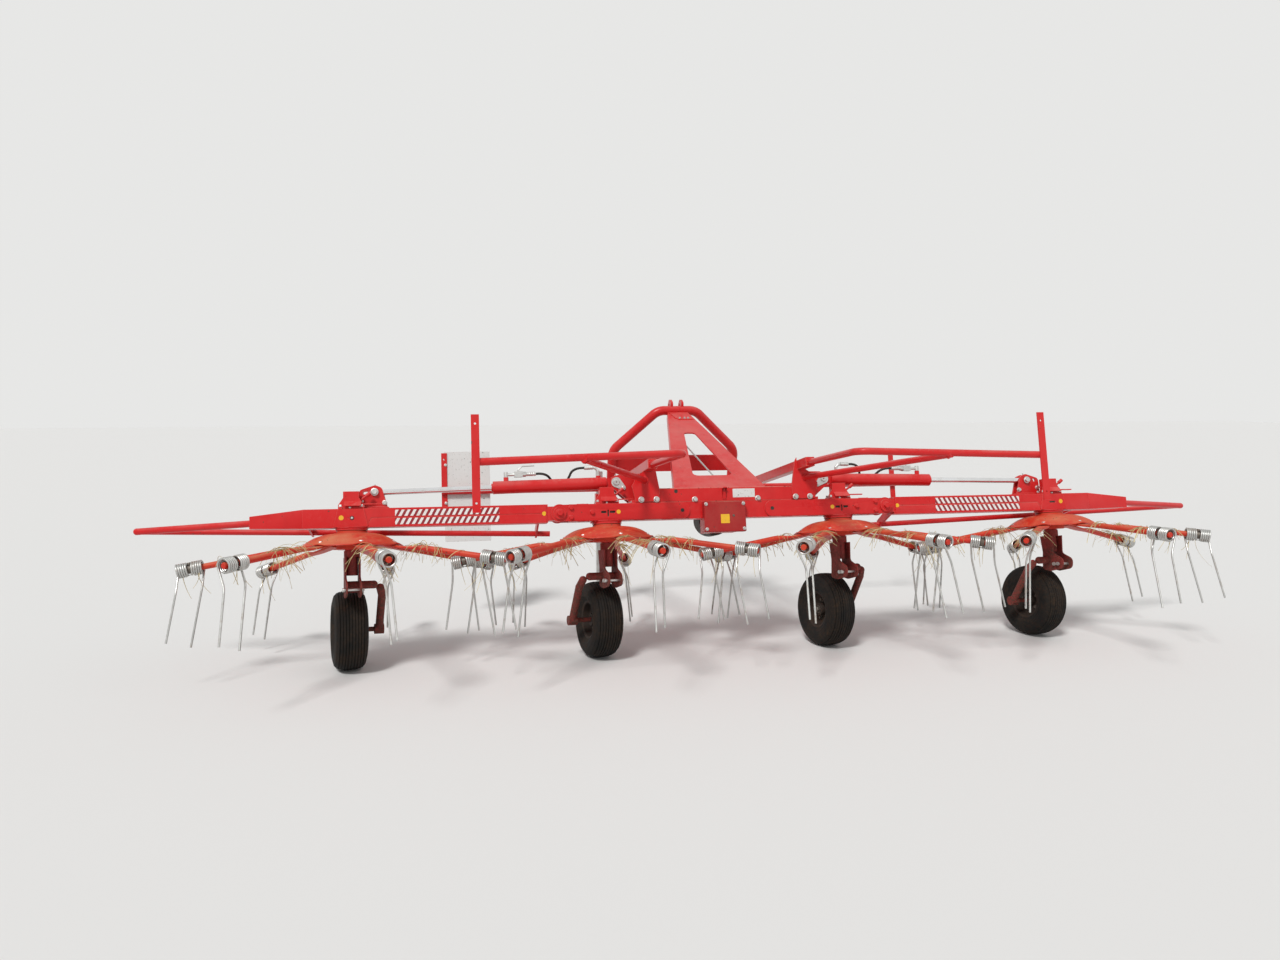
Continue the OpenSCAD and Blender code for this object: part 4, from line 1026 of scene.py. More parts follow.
def tyre_shape():
    """Radius over width: a soft crown, grooved across the tread, shoulders and sidewalls down to the bead.
    A groove is a clipped cosine of the width, and a ring a step of a cosine of the radius."""
    fine = np.concatenate((np.linspace(0, 4, 45), np.linspace(4.15, 7, 14)))
    across = np.interp(fine, np.arange(8), SECTION_HALF)
    radius = TYRE_R - np.interp(fine, np.arange(8), SECTION_DROP)
    tread = np.clip((TREAD_HALF - across) / TREAD_FADE, 0, 1)
    groove = GROOVE_DEPTH * np.clip(np.cos(across / GROOVE_PITCH * FULL) * 3 - 1.6, 0, 1)
    ribs = RIB_DEPTH * np.clip(np.cos(across / RIB_PITCH * FULL), 0, 1)
    radius = radius - tread * (groove + ribs)
    ring = RING_HEIGHT * (np.cos((radius - RIM_R) / RING_PITCH * FULL) > 0.4)
    across = across + (ring - SIDEWALL_SINK) * (fine > SIDEWALL_FROM)
    section = np.vstack((
        np.stack((-across[::-1], radius[::-1]), -1), np.stack((across[1:], radius[1:]), -1),
        ((BEAD_HALF, RIM_R + BEAD_GAP), (-BEAD_HALF, RIM_R + BEAD_GAP)),
    ))
    return turned(section, 96, ring=True)


def on_wheel(shape, i):
    """A shape about the z axis, moved to the axle of wheel i."""
    spin = joints[f"wheel_{i}_spin"]
    return stamped(shape, spin["pos_m"], axes_along(spin["axis"]))


tyre = tyre_shape()
for i in ROTORS:
    ribbed = on_wheel(tyre, i)
    piece(f"ribbed_tyre_{i}", ribbed, "tyre_rubber", f"wheel_{i}", sharp=50.0, replaces=(f"tyre_{i}",))

# %% [markdown]
# ## Stripes, plate and dots
#
# The striped films lie on the rear face of each wing beam in two rows, above and below the
# pressed seam. A blank white plate sits on the channel, a blank yellow square on the cover and
# blank yellow dots on the beams. They are thin pieces, so that their edges catch the light.

# %% Films and blank plates
FILM_T = 0.0006
FILM_ROUNDING = 0.002
DOT_R = 0.011
HINGE_W = 0.135
WING_BACK = -0.048
PLATE_BACK = -0.062
BOSS_BACK = -0.052
SPIRE_BACK = -0.058
CHANNEL_BACK = -0.046
COVER_BACK = -0.095
STRIPES_FROM, STRIPES_TO = 1.215, 1.735
PLATE_DOT, WING_DOT, BOSS_DOT, BOSS_DOT_R = 0.595, 0.984, 1.996, 0.012
ROWS = ((HINGE_W + 0.005, HINGE_W + 0.037), (HINGE_W - 0.037, HINGE_W - 0.005))


def back_film(u0, u1, w0, w1, v):
    """A thin sheet with rounded corners, facing backwards at depth v."""
    quarter = np.linspace(0, math.pi / 2, 4)
    corners = np.array(((u1, w1), (u0, w1), (u0, w0), (u1, w0)))
    inward = np.array(((-1, -1), (1, -1), (1, 1), (-1, 1)))
    arcs = [polar(1.0, quarter + k * math.pi / 2, 0.0)[:, :2] for k in range(4)]
    outline = np.vstack([corners[k] + FILM_ROUNDING * (inward[k] + arcs[k]) for k in range(4)])
    return facing_back(plate(outline, FILM_T), v)


def dot(name, u, v, body, w=HINGE_W, radius=DOT_R):
    """A round blank sticker facing backwards."""
    outline = polar(radius, angles_round(24), 0.0)[:, :2] + (u, w)
    piece(name, facing_back(plate(outline, FILM_T), v), "cap_plastic", body)


for side, sign in SIDES.items():
    span = sorted((sign * STRIPES_FROM, sign * STRIPES_TO))
    rows = joined([back_film(*span, *row, WING_BACK) for row in ROWS])
    piece(f"stripes_{side}", rows, f"stripe_film_{side}", f"wing_{side}")
for side, sign in SIDES.items():
    dot(f"dot_{side}", sign * PLATE_DOT, PLATE_BACK, "frame")
    dot(f"dot_wing_{side}", sign * WING_DOT, WING_BACK, f"wing_{side}")
    dot(f"dot_outer_{side}", sign * BOSS_DOT, BOSS_BACK, f"wing_{side}", HINGE_W + 0.002, BOSS_DOT_R)
piece("cover_sticker", back_film(-0.050, -0.002, 0.058, 0.106, COVER_BACK), "cap_plastic", "frame")
piece("blank_plate", back_film(0.036, 0.160, 0.199, 0.246, CHANNEL_BACK), "panel_paint", "frame")

# %% [markdown]
# ## Bolts
#
# The bolts are listed by what they hold, as places in the work frame with the direction the
# head faces. A list mirrored for the left side keeps both wings alike.

# %% Bolts of the frame
BEAM_TOP = 0.180
WING_TOP = HINGE_W + 0.0475
BASE_PIN = (0.587, 0.060, 0.300)
ROD_PIN = (1.840, 0.060, 0.272)


def mirrored(places, sign):
    """Places listed for the right side, mirrored for the left where the sign is -1."""
    return np.asarray(places, float) * (sign, 1, 1)


channel_right = [(0.470, SPIRE_BACK, 0.196), (0.388, SPIRE_BACK, 0.196), (0.176, CHANNEL_BACK, 0.192)]
channel_places = np.vstack([mirrored(channel_right, sign) for sign in SIDES.values()])
bolts("channel_bolts", channel_places, BACK, "frame", 0.022, 0.014)
cover_corners = [(u, COVER_BACK, w) for u in (-0.128, 0.078) for w in (0.028, 0.162)]
bolts("cover_bolts", cover_corners, BACK, "frame", 0.013, 0.007)
bolts("cover_screw", [(0.021, COVER_BACK, 0.098)], BACK, "frame", 0.009, 0.004, "dark_steel")
for name, v, way in (("panel_nuts", 1.062, BACK), ("panel_bolts", 1.071, FRONT)):
    bolts(name, [(-1.4915, v, w) for w in (0.300, 0.540)], way, "frame", 0.013, 0.007)

# %% [markdown]
# The bolts that each wing and each rotor has are rows of a table and a loop. The heads on the
# hinges were painted over with the beam, so they take its red.

# %% Bolts of hinges, pins and arms
HINGE_PLATE_BOLTS = [(0.845, PLATE_BACK, 0.160), (0.845, PLATE_BACK, 0.110), (0.735, PLATE_BACK, HINGE_W)]
ROD_LUG_FACE = 0.023
LUG_BOLTS = [(1.908, 0.031, 0.226), (1.790, 0.031, 0.216)]
LOCK_BOLTS = [(u, v, 0.010) for u in (-0.051, 0.051) for v in (-0.034, 0.009)]
lock_foot = {i: np.array((rotor_u[i], 0, BEAM_TOP if i in (2, 3) else WING_TOP)) for i in ROTORS}

for side, sign in SIDES.items():
    for name, places, body, size, head, finish in (
        ("hinge_heads", [(0.905, PLATE_BACK - 0.014, HINGE_W)], "frame", 0.030, 0.015, "red_paint"),
        ("hinge_bolts", HINGE_PLATE_BOLTS, "frame", 0.020, 0.012, "red_paint"),
        ("rod_pin_heads", [(ROD_PIN[0], ROD_LUG_FACE, ROD_PIN[2])], f"wing_{side}", 0.027, 0.013, "zinc_steel"),
        ("lug_bolts", LUG_BOLTS, f"wing_{side}", 0.018, 0.010, "zinc_steel"),
    ):
        bolts(f"{name}_{side}", mirrored(places, sign), BACK, body, size, head, finish)
root_bolts = stamped(hex_bolt(0.019, 0.011), [(-0.085, 0, 0), (-0.030, 0, 0.003)])
for i in ROTORS:
    piece(f"root_bolts_{i}", stamped(root_bolts, *arm_frames(i)), "zinc_steel", f"rotor_{i}")
    bolts(f"lock_bolts_{i}", LOCK_BOLTS + lock_foot[i], UP, body_of[f"turn_lock_{i}"], 0.017, 0.010)

# %% [markdown]
# Five bolts sit round both faces of each rim, and a nut on the free end of the axle, on the
# side away from the fork. They turn with the wheel, so they are stamped in the axle's axes.

# %% Wheel bolts and hub nuts
RIM_BOLT_R = 0.055
RIM_FACES = {1: -0.0088, -1: -0.0172}
HUB_END = 0.048


def wheel_hardware(i):
    """Bolt heads round each face of the rim and a nut with a washer at the free end of the axle."""
    shapes = [
        stamped(hex_bolt(0.016, 0.009), polar(RIM_BOLT_R, angles_round(5), level), np.diag((1.0, way, way)))
        for way, level in RIM_FACES.items()
    ]
    end = -1 if i in (1, 3) else 1
    shapes.append(stamped(hex_bolt(0.030, 0.014), (0, 0, end * HUB_END), np.diag((1.0, end, end))))
    return joined(shapes)


for i in ROTORS:
    piece(f"wheel_bolts_{i}", on_wheel(wheel_hardware(i), i), "dark_steel", f"wheel_{i}")

# %% [markdown]
# ## Caps, keepers and pins
#
# A turned zinc cap covers the end of each cylinder's base pin. A keeper is a drop-shaped plate
# that stops the pin from turning: in every direction, its outline is the point of two circles
# that reaches furthest.

# %% Pin caps and keepers
LUG_FACE = 0.026
KEEPER_T = 0.0045
KEEPER_BOLT = (0.550, 0.270)
CAP_FACE = 0.0225
PIN_CAP = [(0, 0.0172), (0.0040, 0.0172), (0.0060, 0.0150), (0.0060, 0.0045), (0.0045, 0.0030)]


def drop_outline(big, small, big_r, small_r, steps=48):
    """The outline round two circles: in each direction, the point that reaches furthest."""
    ways = polar(1.0, angles_round(steps), 0.0)[:, :2]
    from_big = np.asarray(big) + big_r * ways
    from_small = np.asarray(small) + small_r * ways
    further = (from_big * ways).sum(1) >= (from_small * ways).sum(1)
    return np.where(further[:, None], from_big, from_small)


for side, sign in SIDES.items():
    cap_at = [(sign * BASE_PIN[0], CAP_FACE, BASE_PIN[2])]
    piece(f"pin_cap_{side}", stood_on(turned(PIN_CAP, 28), cap_at, BACK), "zinc_steel", "frame")
    bolt_u, bolt_w = sign * KEEPER_BOLT[0], KEEPER_BOLT[1]
    outline = drop_outline((sign * BASE_PIN[0], BASE_PIN[2]), (bolt_u, bolt_w), 0.027, 0.013)
    piece(f"keeper_{side}", facing_back(plate(outline, KEEPER_T), LUG_FACE), "zinc_steel", "frame")
    bolts(f"keeper_bolt_{side}", [(bolt_u, LUG_FACE - KEEPER_T, bolt_w)], BACK, "frame", 0.013, 0.008)

# %% [markdown]
# Two lock pins go through the holes of each wheel fork, with a spring ring through one end.
# The forks are steered a little to the left, so the pins are drawn once and placed in a frame
# that is steered as the forks are.

# %% Lock pins
STEER = math.radians(11.0)
LEG_TURN = ((math.cos(STEER), math.sin(STEER), 0), (-math.sin(STEER), math.cos(STEER), 0), UP)
LEG_AXES = np.array(LEG_TURN) @ AXES
RING_R, RING_WIRE_R = 0.0125, 0.0018
RING_HANG = -0.0105
FORK_HOLES = [(0.0, -0.080, -0.222), (0.0, -0.052, -0.222)]
LOCK_PIN_PROFILE = [
    (-0.052, 0.003), (-0.052, 0.0095), (-0.046, 0.0105), (-0.044, 0.0105), (-0.044, 0.0065), (0.050, 0.0065),
    (0.053, 0.0045),
]
ring_section = (0, RING_R) + RING_WIRE_R * polar(1.0, angles_round(12), 0.0)[:, 1::-1]
spring_ring = turned(ring_section, 24, ring=True)
hung_ring = stamped(lying(spring_ring), (0.0455, 0.0, RING_HANG))
lock_pin = joined([lying(turned(LOCK_PIN_PROFILE, 16)), hung_ring])
for i in ROTORS:
    places = placed(FORK_HOLES, rotor_at[i], LEG_AXES)
    piece(f"lock_pins_{i}", stamped(lock_pin, places, LEG_AXES), "zinc_steel", body_of[f"leg_{i}"])

# %% [markdown]
# Grease nipples stand on the eyes of each cylinder. The hexagon of a real nipple is left out:
# at this size a turned collar looks the same.

# %% Grease nipples
NIPPLE = [
    (0, 0.0045), (0.004, 0.0045), (0.005, 0.003), (0.010, 0.003), (0.0115, 0.0038), (0.0135, 0.0028),
    (0.0145, 0.001),
]
nipple = turned(NIPPLE, 12)
for side, sign in SIDES.items():
    for name, pin, reach, body in (("base", BASE_PIN, 0.0295, "barrel"), ("rod", ROD_PIN, 0.0285, "rod")):
        spot = mirrored(pin, sign) + (0, 0, reach)
        piece(f"{name}_nipple_{side}", in_work_frame(nipple, spot), "zinc_steel", f"{body}_{side}")

# %% [markdown]
# ## Plates and a stay on the tower
#
# The tower has axes of its own: across, up along its sheet and out of the sheet. A short plate
# is welded on near its top, with three screws, and a thin stay runs inside from the left
# flange down to the channel. A folded tab stands on the channel beside the blank plate.

# %% Tower and channel details
TOWER_FOOT = (0.0, 0.050, 0.256)
TOWER_RUN, TOWER_CLIMB = 0.9756, 0.6193
PLATE_OUTLINE = [(-0.062, 1.112), (-0.036, 1.016), (-0.020, 1.002), (0.080, 1.002), (0.060, 1.112)]
PLATE_T = 0.004
rise = math.atan2(TOWER_CLIMB, TOWER_RUN)
tower_axes = np.array(((1, 0, 0), (0, math.cos(rise), math.sin(rise)), (0, -math.sin(rise), math.cos(rise))))


def on_tower(name, shape, finish):
    """A piece drawn in the tower's axes, moved to the machine."""
    piece(name, stamped(shape, placed(TOWER_FOOT), tower_axes @ AXES), finish, "frame")


on_tower("tower_plate", plate(PLATE_OUTLINE, PLATE_T), "red_paint")
screws = stamped(hex_bolt(0.011, 0.006), [(x, 1.013, PLATE_T) for x in (-0.010, 0.020, 0.044)])
on_tower("tower_screws", screws, "zinc_steel")
on_tower("tower_stay", tube([(-0.090, 0.945, -0.030), (0.0627, -0.0800, -0.030)], 0.0045), "zinc_steel")

TAB_LINE = np.array([(0.0, 0.0), (0.0, 0.048), (-0.004, 0.056), (-0.012, 0.060), (-0.026, 0.062)])
TAB_T = 0.004
tab_back = TAB_LINE[::-1] + (-TAB_T, 0.0)
tab_back[:2] += ((TAB_T, -TAB_T), (0.75 * TAB_T, -TAB_T))
tab = extruded(np.vstack((TAB_LINE, tab_back)), -0.022, -0.002)
piece("channel_tab", in_work_frame(tab, (0, CHANNEL_BACK, 0.192)), "red_paint", "frame")

# %% [markdown]
# Under the box of each lever lock a folded strip comes down to the beam, with one screw in its
# face. It is one profile carried along u.

# %% Aprons of the lever locks
APRON = (
    (-0.0375, 0.0340), (-0.0375, 0.0390), (-0.0585, 0.0175), (-0.0640, 0.0135), (-0.0605, 0.0112),
    (-0.0550, 0.0150),
)
LOCK_SCREW = (-0.004, -0.045, 0.0052)
for i in ROTORS:
    lock_body = body_of[f"turn_lock_{i}"]
    apron = in_work_frame(extruded(APRON, -0.033, 0.050), lock_foot[i])
    piece(f"lock_apron_{i}", apron, "red_paint", lock_body)
    bolts(f"lock_screw_{i}", [lock_foot[i] + LOCK_SCREW], BACK, lock_body, 0.0085, 0.006)

# %% [markdown]
# ## Holes that need no cut
#
# A slot or bore is seen only as a dark shape with a rim: the shade inside it. The slots over the
# inner rotors are real cuts, and get a dark floor of painted shade. Elsewhere a thin dark film or a
# shallow dark turned plug stands in for the hole and paints its shade: at this size the eye cannot
# tell, and the beam's mesh stays simple.

# %% Slots and bored holes as painted shade
SLOT_FLOOR = -0.0535
SLOT_U = 0.650
SLOT_SPANS = (
    (-0.0385, -0.0085, -0.0065, 0.0065), (0.0085, 0.0385, -0.0065, 0.0065), (-0.0045, 0.0045, -0.0245, 0.0125),
)
BOSS_HOLE = [(-1.944, BOSS_BACK, HINGE_W)]
BORED_HOLES = [(-0.250, PLATE_BACK, HINGE_W), (0.250, PLATE_BACK, HINGE_W), (-0.278, CHANNEL_BACK, 0.238)]

slot_shade_films = [
    back_film(sign * SLOT_U + u0, sign * SLOT_U + u1, HINGE_W + w0, HINGE_W + w1, SLOT_FLOOR)
    for sign in SIDES.values() for u0, u1, w0, w1 in SLOT_SPANS
]
# Dark floors in the real slots: painted shade inside the cuts.
piece("slot_floors", joined(slot_shade_films), "guard_plastic", "frame")
# A dark film on the outer boss: a painted slot and its shade.
boss_slot = back_film(1.925, 1.958, HINGE_W - 0.0045, HINGE_W + 0.0045, BOSS_BACK)
piece("boss_slot_right", boss_slot, "guard_plastic", "wing_right")
# A shallow dark plug stands for a bored hole: painted shade in the hole.
shade_plug = turned([(0, 0.010), (0.0012, 0.0098), (0.0012, 0.0085), (0.0003, 0.0080)], 24)
piece("boss_hole_left", stood_on(shade_plug, BOSS_HOLE, BACK), "guard_plastic", "wing_left")
bolts("boss_screw_left", BOSS_HOLE, BACK, "wing_left", 0.0085, 0.005)
piece("bored_holes", stood_on(shade_plug, BORED_HOLES, BACK), "guard_plastic", "frame")

# %% [markdown]
# ## Hoses
#
# A short rubber hose joins the two ports of each cylinder and sags behind the barrel. It is
# held by a pressed sleeve at both ends, so it rides on the barrel. The route is rounded by
# cutting corners: each pass puts two points on every run, a quarter and three quarters
# along it, and a tube follows the result.

# %% Hoses and pressed sleeves
HOSE_R = 0.0065
HOSE_ROUTE = np.array((
    (425, 0, 66), (400, 0, 66), (378, 4, 62), (359, 14, 53), (347, 28, 40), (336, 42, 27), (318, 52, 18),
    (295, 56, 14), (271, 52, 19), (252, 42, 32), (242, 28, 51), (234, 14, 70), (214, 4, 83), (190, 0, 88),
    (165, 0, 88),
)) / 1000
SLEEVES = ((0.428, 0.474, 0.066), (0.120, 0.162, 0.088))
SLEEVE_R, SLEEVE_GROOVE, SLEEVE_TAPER = 0.0114, 0.0007, 0.0020
SLEEVE_STEPS = 40
cylinder_way = unit(np.subtract(ROD_PIN, BASE_PIN))
CYLINDER_AXES = np.array((cylinder_way, (0, 1, 0), np.cross(cylinder_way, (0, 1, 0))))


def by_cylinder(points, sign):
    """Points along, ahead of and above a cylinder's base pin, moved to the machine. The left is mirrored."""
    return placed(mirrored(placed(points, BASE_PIN, CYLINDER_AXES), sign))


def rounded_route(points, passes=2):
    """Corners cut again and again: new points at 1/4 and 3/4 of each run, with both ends kept."""
    for _ in range(passes):
        a, b = points[:-1], points[1:]
        inner = np.stack((0.75 * a + 0.25 * b, 0.25 * a + 0.75 * b), 1).reshape(-1, 3)
        points = np.vstack((points[:1], inner[1:-1], points[-1:]))
    return points


def pressed_sleeve(start, end, height, sign):
    """A sleeve with pressed grooves: the radius drops by a little where a cosine along it is high."""
    way = np.linspace(0, 1, SLEEVE_STEPS)
    radius = SLEEVE_R - SLEEVE_GROOVE * (np.cos(way * 4 * FULL) > 0.2)
    radius = radius - SLEEVE_TAPER * ((way < 0.03) | (way > 0.97))
    ends = by_cylinder([(start, 0, height), (end, 0, height)], sign)
    return tube(ends[0] + way[:, None] * (ends[1] - ends[0]), radius, 20)


for side, sign in SIDES.items():
    body = body_of[f"hose_{side}"]
    route = by_cylinder(rounded_route(HOSE_ROUTE), sign)
    piece(f"smooth_hose_{side}", tube(route, HOSE_R, 14), "hose_rubber", body, replaces=(f"hose_{side}",))
    sleeves = joined([pressed_sleeve(*sleeve, sign) for sleeve in SLEEVES])
    piece(f"pressed_sleeves_{side}", sleeves, "zinc_steel", body)

# %% [markdown]
# ## Weld beads
#
# Wherever two steel parts meet there is a bead of weld: small drops laid one over the next.
# A bump texture looks flat from the side, so each bead is a tube along the joint whose radius
# swells once for every drop and tapers at both ends, with a slight seeded wander.

# %% A bead of weld
WELD_R = 0.0032
TOWER_WELD_R = 0.0048
DROP_LENGTH = 0.006
WANDER = 0.00025
wander = np.random.default_rng(11)


def evenly(path, step):
    """Points at even distances along a line of points."""
    path = np.asarray(path, float)
    reach = np.concatenate(((0,), np.cumsum(np.linalg.norm(np.diff(path, axis=0), axis=1))))
    at = np.linspace(0, reach[-1], max(3, int(reach[-1] / step)))
    return np.stack([np.interp(at, reach, path[:, k]) for k in range(3)], -1)


def bead(path, radius=WELD_R):
    """A weld bead along a path in the work frame, with its radius times 0.86 + 0.26 |sin| along it."""
    points = evenly(path, DROP_LENGTH / 3)
    step = np.arange(len(points))
    swell = 0.86 + 0.26 * np.abs(np.sin(step * math.pi / 3))
    ends = np.clip(np.minimum(step, step[::-1]) / 2, 0.35, 1)
    return tube(placed(points + wander.normal(0, WANDER, points.shape)), radius * ends * swell, 7)


def hoop(centre, axis, radius):
    """A circle of 48 points round an axis in the work frame."""
    first, second, _ = axes_along(axis)[0]
    angle = np.linspace(0, FULL, 48)[:, None]
    return np.asarray(centre) + radius * (np.cos(angle) * first + np.sin(angle) * second)


def level_line(u0, u1, v, w):
    """Two ends of a run along the beam."""
    return ((u0, v, w), (u1, v, w))


print("drops of weld in 100 mm:", round(0.1 / DROP_LENGTH))

# %% [markdown]
# The joints are listed once, for the right side, in u, v and w, and mirrored for the left. The
# order of the lists is the order in which the wander is drawn.

# %% Where the welds run
brace_way = unit((0.440, -0.826, 0.008))
frame_welds = [
    *[level_line(u, u + 0.065, -0.0515, w) for u in (0.30, 0.45, 0.60, 0.75) for w in (0.0915, 0.1785)],
    ((0.3695, -0.047, 0.192), (0.3695, -0.047, 0.252)),
    level_line(0.445, 0.518, 0.0255, 0.1955), level_line(0.445, 0.518, 0.0945, 0.1955),
    hoop((0.4305, -0.1965, 0.366), (0.02, 1, 0.05), 0.0180), hoop((0.4485, -0.0585, 0.3002), brace_way, 0.0172),
    hoop((0.880, -0.868, 0.308) - 0.021 * brace_way, brace_way, 0.0168),
    level_line(1.331, 1.365, -0.8815, 0.3115), level_line(1.331, 1.365, -0.8815, 0.2885),
    hoop((0.4555, 1.047, 0.370), (1, 0, 0), 0.0180),
    level_line(1.483, 1.517, 1.0605, 0.3815), level_line(1.483, 1.517, 1.0605, 0.3585),
    hoop((0.650, 0, 0.0895), UP, 0.0790),
    *[level_line(0.590, 0.710, v, BEAM_TOP + 0.0012) for v in (-0.0460, 0.0210)],
]
wing_welds = [
    ((0.9725, -0.0482, 0.0905), (0.9725, -0.0482, 0.1795)),
    *[((2.1808, v, 0.0900), (2.1808, v, 0.1800)) for v in (-0.0446, 0.0446)],
    *[((u0, -0.0485, 0.0930), (u1, -0.0485, 0.1780)) for u0, u1 in ((1.8672, 1.8872), (2.0328, 2.0128))],
    level_line(1.772, 1.928, 0.0235, WING_TOP + 0.0015),
    *[level_line(1.782, 1.918, v, WING_TOP + 0.0130) for v in (0.0300, 0.0900)],
    hoop((2.4305, 0, 0.1235), (1, 0.2, 0), 0.0178), hoop((1.950, 0, 0.0870), UP, 0.0790),
    *[level_line(1.890, 2.010, v, WING_TOP + 0.0012) for v in (-0.0460, 0.0210)],
    *[((u, 0.0485, 0.108), (u, 0.0485, 0.162)) for u in (0.9985, 1.0115, 2.1665, 2.1795)],
]
centre_welds = [level_line(-0.262, 0.262, 0.0480, 0.2560)]


def weld_piece(name, paths, body, sign=1, radius=WELD_R):
    """All beads of a list as one painted piece."""
    piece(name, joined([bead(mirrored(path, sign), radius) for path in paths]), "red_paint", body, sharp=60.0)


for side, sign in SIDES.items():
    weld_piece(f"frame_welds_{side}", frame_welds, "frame", sign)
    weld_piece(f"wing_welds_{side}", wing_welds, f"wing_{side}", sign)
weld_piece("tower_weld", centre_welds, "frame", radius=TOWER_WELD_R)

# %% [markdown]
# ## Caught hay
#
# Stalks hang over the arms and in the coils. Each stalk is a bent line: it runs to both sides
# of the arm and drops with the square of the distance. All stalks of a rotor are one array of
# paths, and one call turns them into three-sided tubes.

# %% Stalks over the arms
STALK_POINTS = 7


def stalks(paths, radius):
    """Three-sided tubes along many paths at once, thinner towards their far end."""
    count, steps = paths.shape[:2]
    along = unit(np.gradient(paths, axis=1))
    side = unit(np.cross(along, (0.31, 0.23, 0.92)))
    up = np.cross(along, side)
    angle = angles_round(3)[:, None]
    circle = np.cos(angle) * side[:, :, None] + np.sin(angle) * up[:, :, None]
    size = radius[:, None] * np.linspace(1, 0.45, steps)
    corners = (paths[:, :, None] + size[:, :, None, None] * circle).reshape(-1, 3)
    index = np.arange(count * steps * 3).reshape(count, steps, 3)
    index = np.concatenate((index, index[:, :, :1]), 2)
    quads = np.stack((index[:, 1:, :-1], index[:, 1:, 1:], index[:, :-1, 1:], index[:, :-1, :-1]), -1)
    first, last = index[:, 0, :3], index[:, -1, :3]
    return outward((corners, quads.reshape(-1, 4), np.vstack((first, last[:, ::-1]))))


def draped(count, random):
    """Stalks in arm axes. t runs from -1 to 1: y = reach t, z = top - droop t^2, x leans and wavers along the
    arm. They gather round three places of the arm."""
    t = np.linspace(-1, 1, STALK_POINTS)[None, :] + random.uniform(-0.35, 0.35, (count, 1))
    clumps = random.uniform(0.03, 0.42, 3)
    at = np.clip(clumps[random.integers(0, 3, (count, 1))] + random.normal(0, 0.020, (count, 1)), 0.01, 0.44)
    reach = random.uniform(0.025, 0.095, (count, 1))
    droop = random.uniform(0.015, 0.085, (count, 1))
    lean = random.normal(0, 0.035, (count, 1))
    wave = random.normal(0, 0.006, (count, 1)) * np.sin(3 * t)
    top = 0.0165 - 0.016 * np.clip(1 - at / 0.12, 0, 1) + random.exponential(0.004, (count, 1))
    return np.stack((at + lean * t + wave, reach * t, top - droop * t ** 2), -1)


def hanging(count, random):
    """Stalks that hang from the underside of a coil: z falls evenly, x and y drift with the square of t."""
    t = np.linspace(0, 1, STALK_POINTS)[None, :]
    at = COIL_ALONG + random.uniform(-0.055, 0.055, (count, 1))
    out = random.normal(0, 0.030, (count, 1)) * t ** 2
    side = random.uniform(-0.024, 0.024, (count, 1)) + random.normal(0, 0.025, (count, 1)) * t ** 2
    return np.stack((at + out, side, -0.024 - random.uniform(0.05, 0.16, (count, 1)) * t), -1)


for i in ROTORS:
    origins, axes = arm_frames(i)
    random = np.random.default_rng(40 + i)
    paths = np.concatenate([
        origins[k] + np.concatenate((draped(9 + 8 * ((i + k) % 3), random), hanging(3, random))) @ axes[k]
        for k in range(ARM_COUNT)
    ])
    piece(f"hay_{i}", stalks(paths, random.uniform(0.0011, 0.0021, len(paths))), "dry_hay", f"rotor_{i}")

# %% [markdown]
# ## Drive parts at the front
#
# The input stub has six splines and a groove for the lock of a drive shaft. Its radius is a
# function of the length and the angle: a turned profile less a notch wave of six periods. Six
# cutters would do it too, but leave ragged faces. The gearbox gets its lid and the bolts of
# its flange.

# %% Splined stub and gearbox lid
SHAFT_W = 0.100
STUB = np.array((
    (0.1943, 0.0262), (0.1955, 0.0274), (0.2228, 0.0274), (0.2240, 0.0262), (0.2241, 0.0174), (0.2320, 0.0174),
    (0.2345, 0.0174), (0.2835, 0.0174), (0.2850, 0.0156), (0.2905, 0.0156), (0.2920, 0.0174), (0.3080, 0.0174),
    (0.3100, 0.0158),
))
SPLINES = 6
SPLINE_DEPTH = 0.0031
SPLINE_FROM, SPLINE_FADE = 0.2320, 0.0025
LOCK_GROOVE_R = 0.0157
FLANGE_FACE, FLANGE_BOLT_R = 0.220, 0.041
LID_FOOT, LID_T = 0.180, 0.006


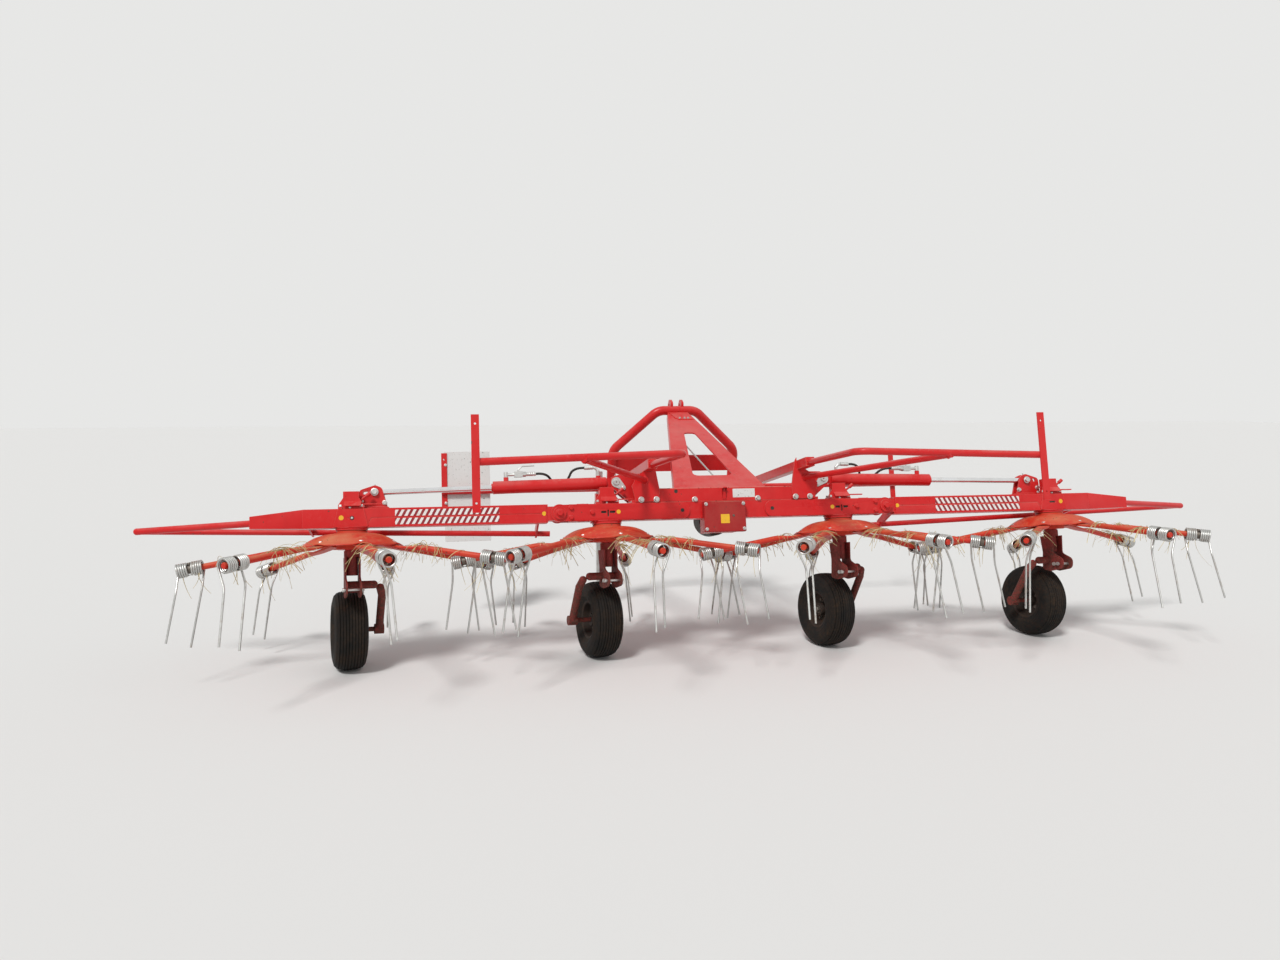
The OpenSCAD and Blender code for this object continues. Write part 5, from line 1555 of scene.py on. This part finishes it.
def splined_stub():
    """Radius = profile(v) - depth * notch(angle), where the notch is a clipped cosine of six periods."""
    length, radius = STUB.T[:, :, None]
    angle = angles_round(96)
    notch = np.clip(0.5 - 2.5 * (np.cos(SPLINES * angle) + 0.25), 0, 1)
    cut = SPLINE_DEPTH * smooth_step((length - SPLINE_FROM) / SPLINE_FADE) * (radius > LOCK_GROOVE_R)
    radius = radius - cut * notch
    points = polar(radius, angle, length)[..., (0, 2, 1)] + (0, 0, SHAFT_W)
    return outward(grid_shape(placed(points)))


piece("splined_stub", splined_stub(), "zinc_steel", body_of["input_shaft"], replaces=("input_shaft",))
flange_bolts = polar(FLANGE_BOLT_R, angles_round(4) + FULL / 8, FLANGE_FACE)[:, (0, 2, 1)] + (0, 0, SHAFT_W)
bolts("flange_bolts", flange_bolts, FRONT, "frame", 0.012, 0.007)
lid = plate([(-0.066, 0.076), (0.066, 0.076), (0.066, 0.172), (-0.066, 0.172)], LID_T)
piece("gearbox_lid", in_work_frame(lid, (0, 0, LID_FOOT)), "red_paint", "frame")
lid_corners = [(u, v, LID_FOOT + LID_T) for u in (-0.054, 0.054) for v in (0.088, 0.160)]
bolts("lid_bolts", lid_corners, UP, "frame", 0.013, 0.008)

# %% [markdown]
# A pin holds the parking stand in its sleeve: a knob behind, a plain end with a spring ring in
# front. The stand is upright, so the pin is placed in the machine's own axes, not the leaning
# work frame.

# %% Stand pin
STAND_AT = np.array((-0.500, float(ORIGIN[1]) + 1.280, 0.680))
SLEEVE_HALF = 0.0263
RING_GAP = 0.008
knob = turned([(0.0, 0.0065), (0.004, 0.0065), (0.005, 0.011), (0.010, 0.0115), (0.0135, 0.008)], 20)
stub_end = turned([(0.0, 0.0065), (0.012, 0.0065), (0.014, 0.005)], 20)
pin_parts = joined([
    stamped(shape, STAND_AT + (0, y, z), axes_along(way)) for shape, y, z, way in (
        (knob, -SLEEVE_HALF, 0, BACK), (stub_end, SLEEVE_HALF, 0, FRONT),
        (spring_ring, SLEEVE_HALF + RING_GAP, RING_HANG, FRONT),
    )
])
piece("stand_pin", pin_parts, "zinc_steel", "frame")

# %% [markdown]
# ## Triangle count
#
# The triangles of all new pieces are added up and printed.

# %% Count the new triangles
print("new triangles", sum(triangle_counts))
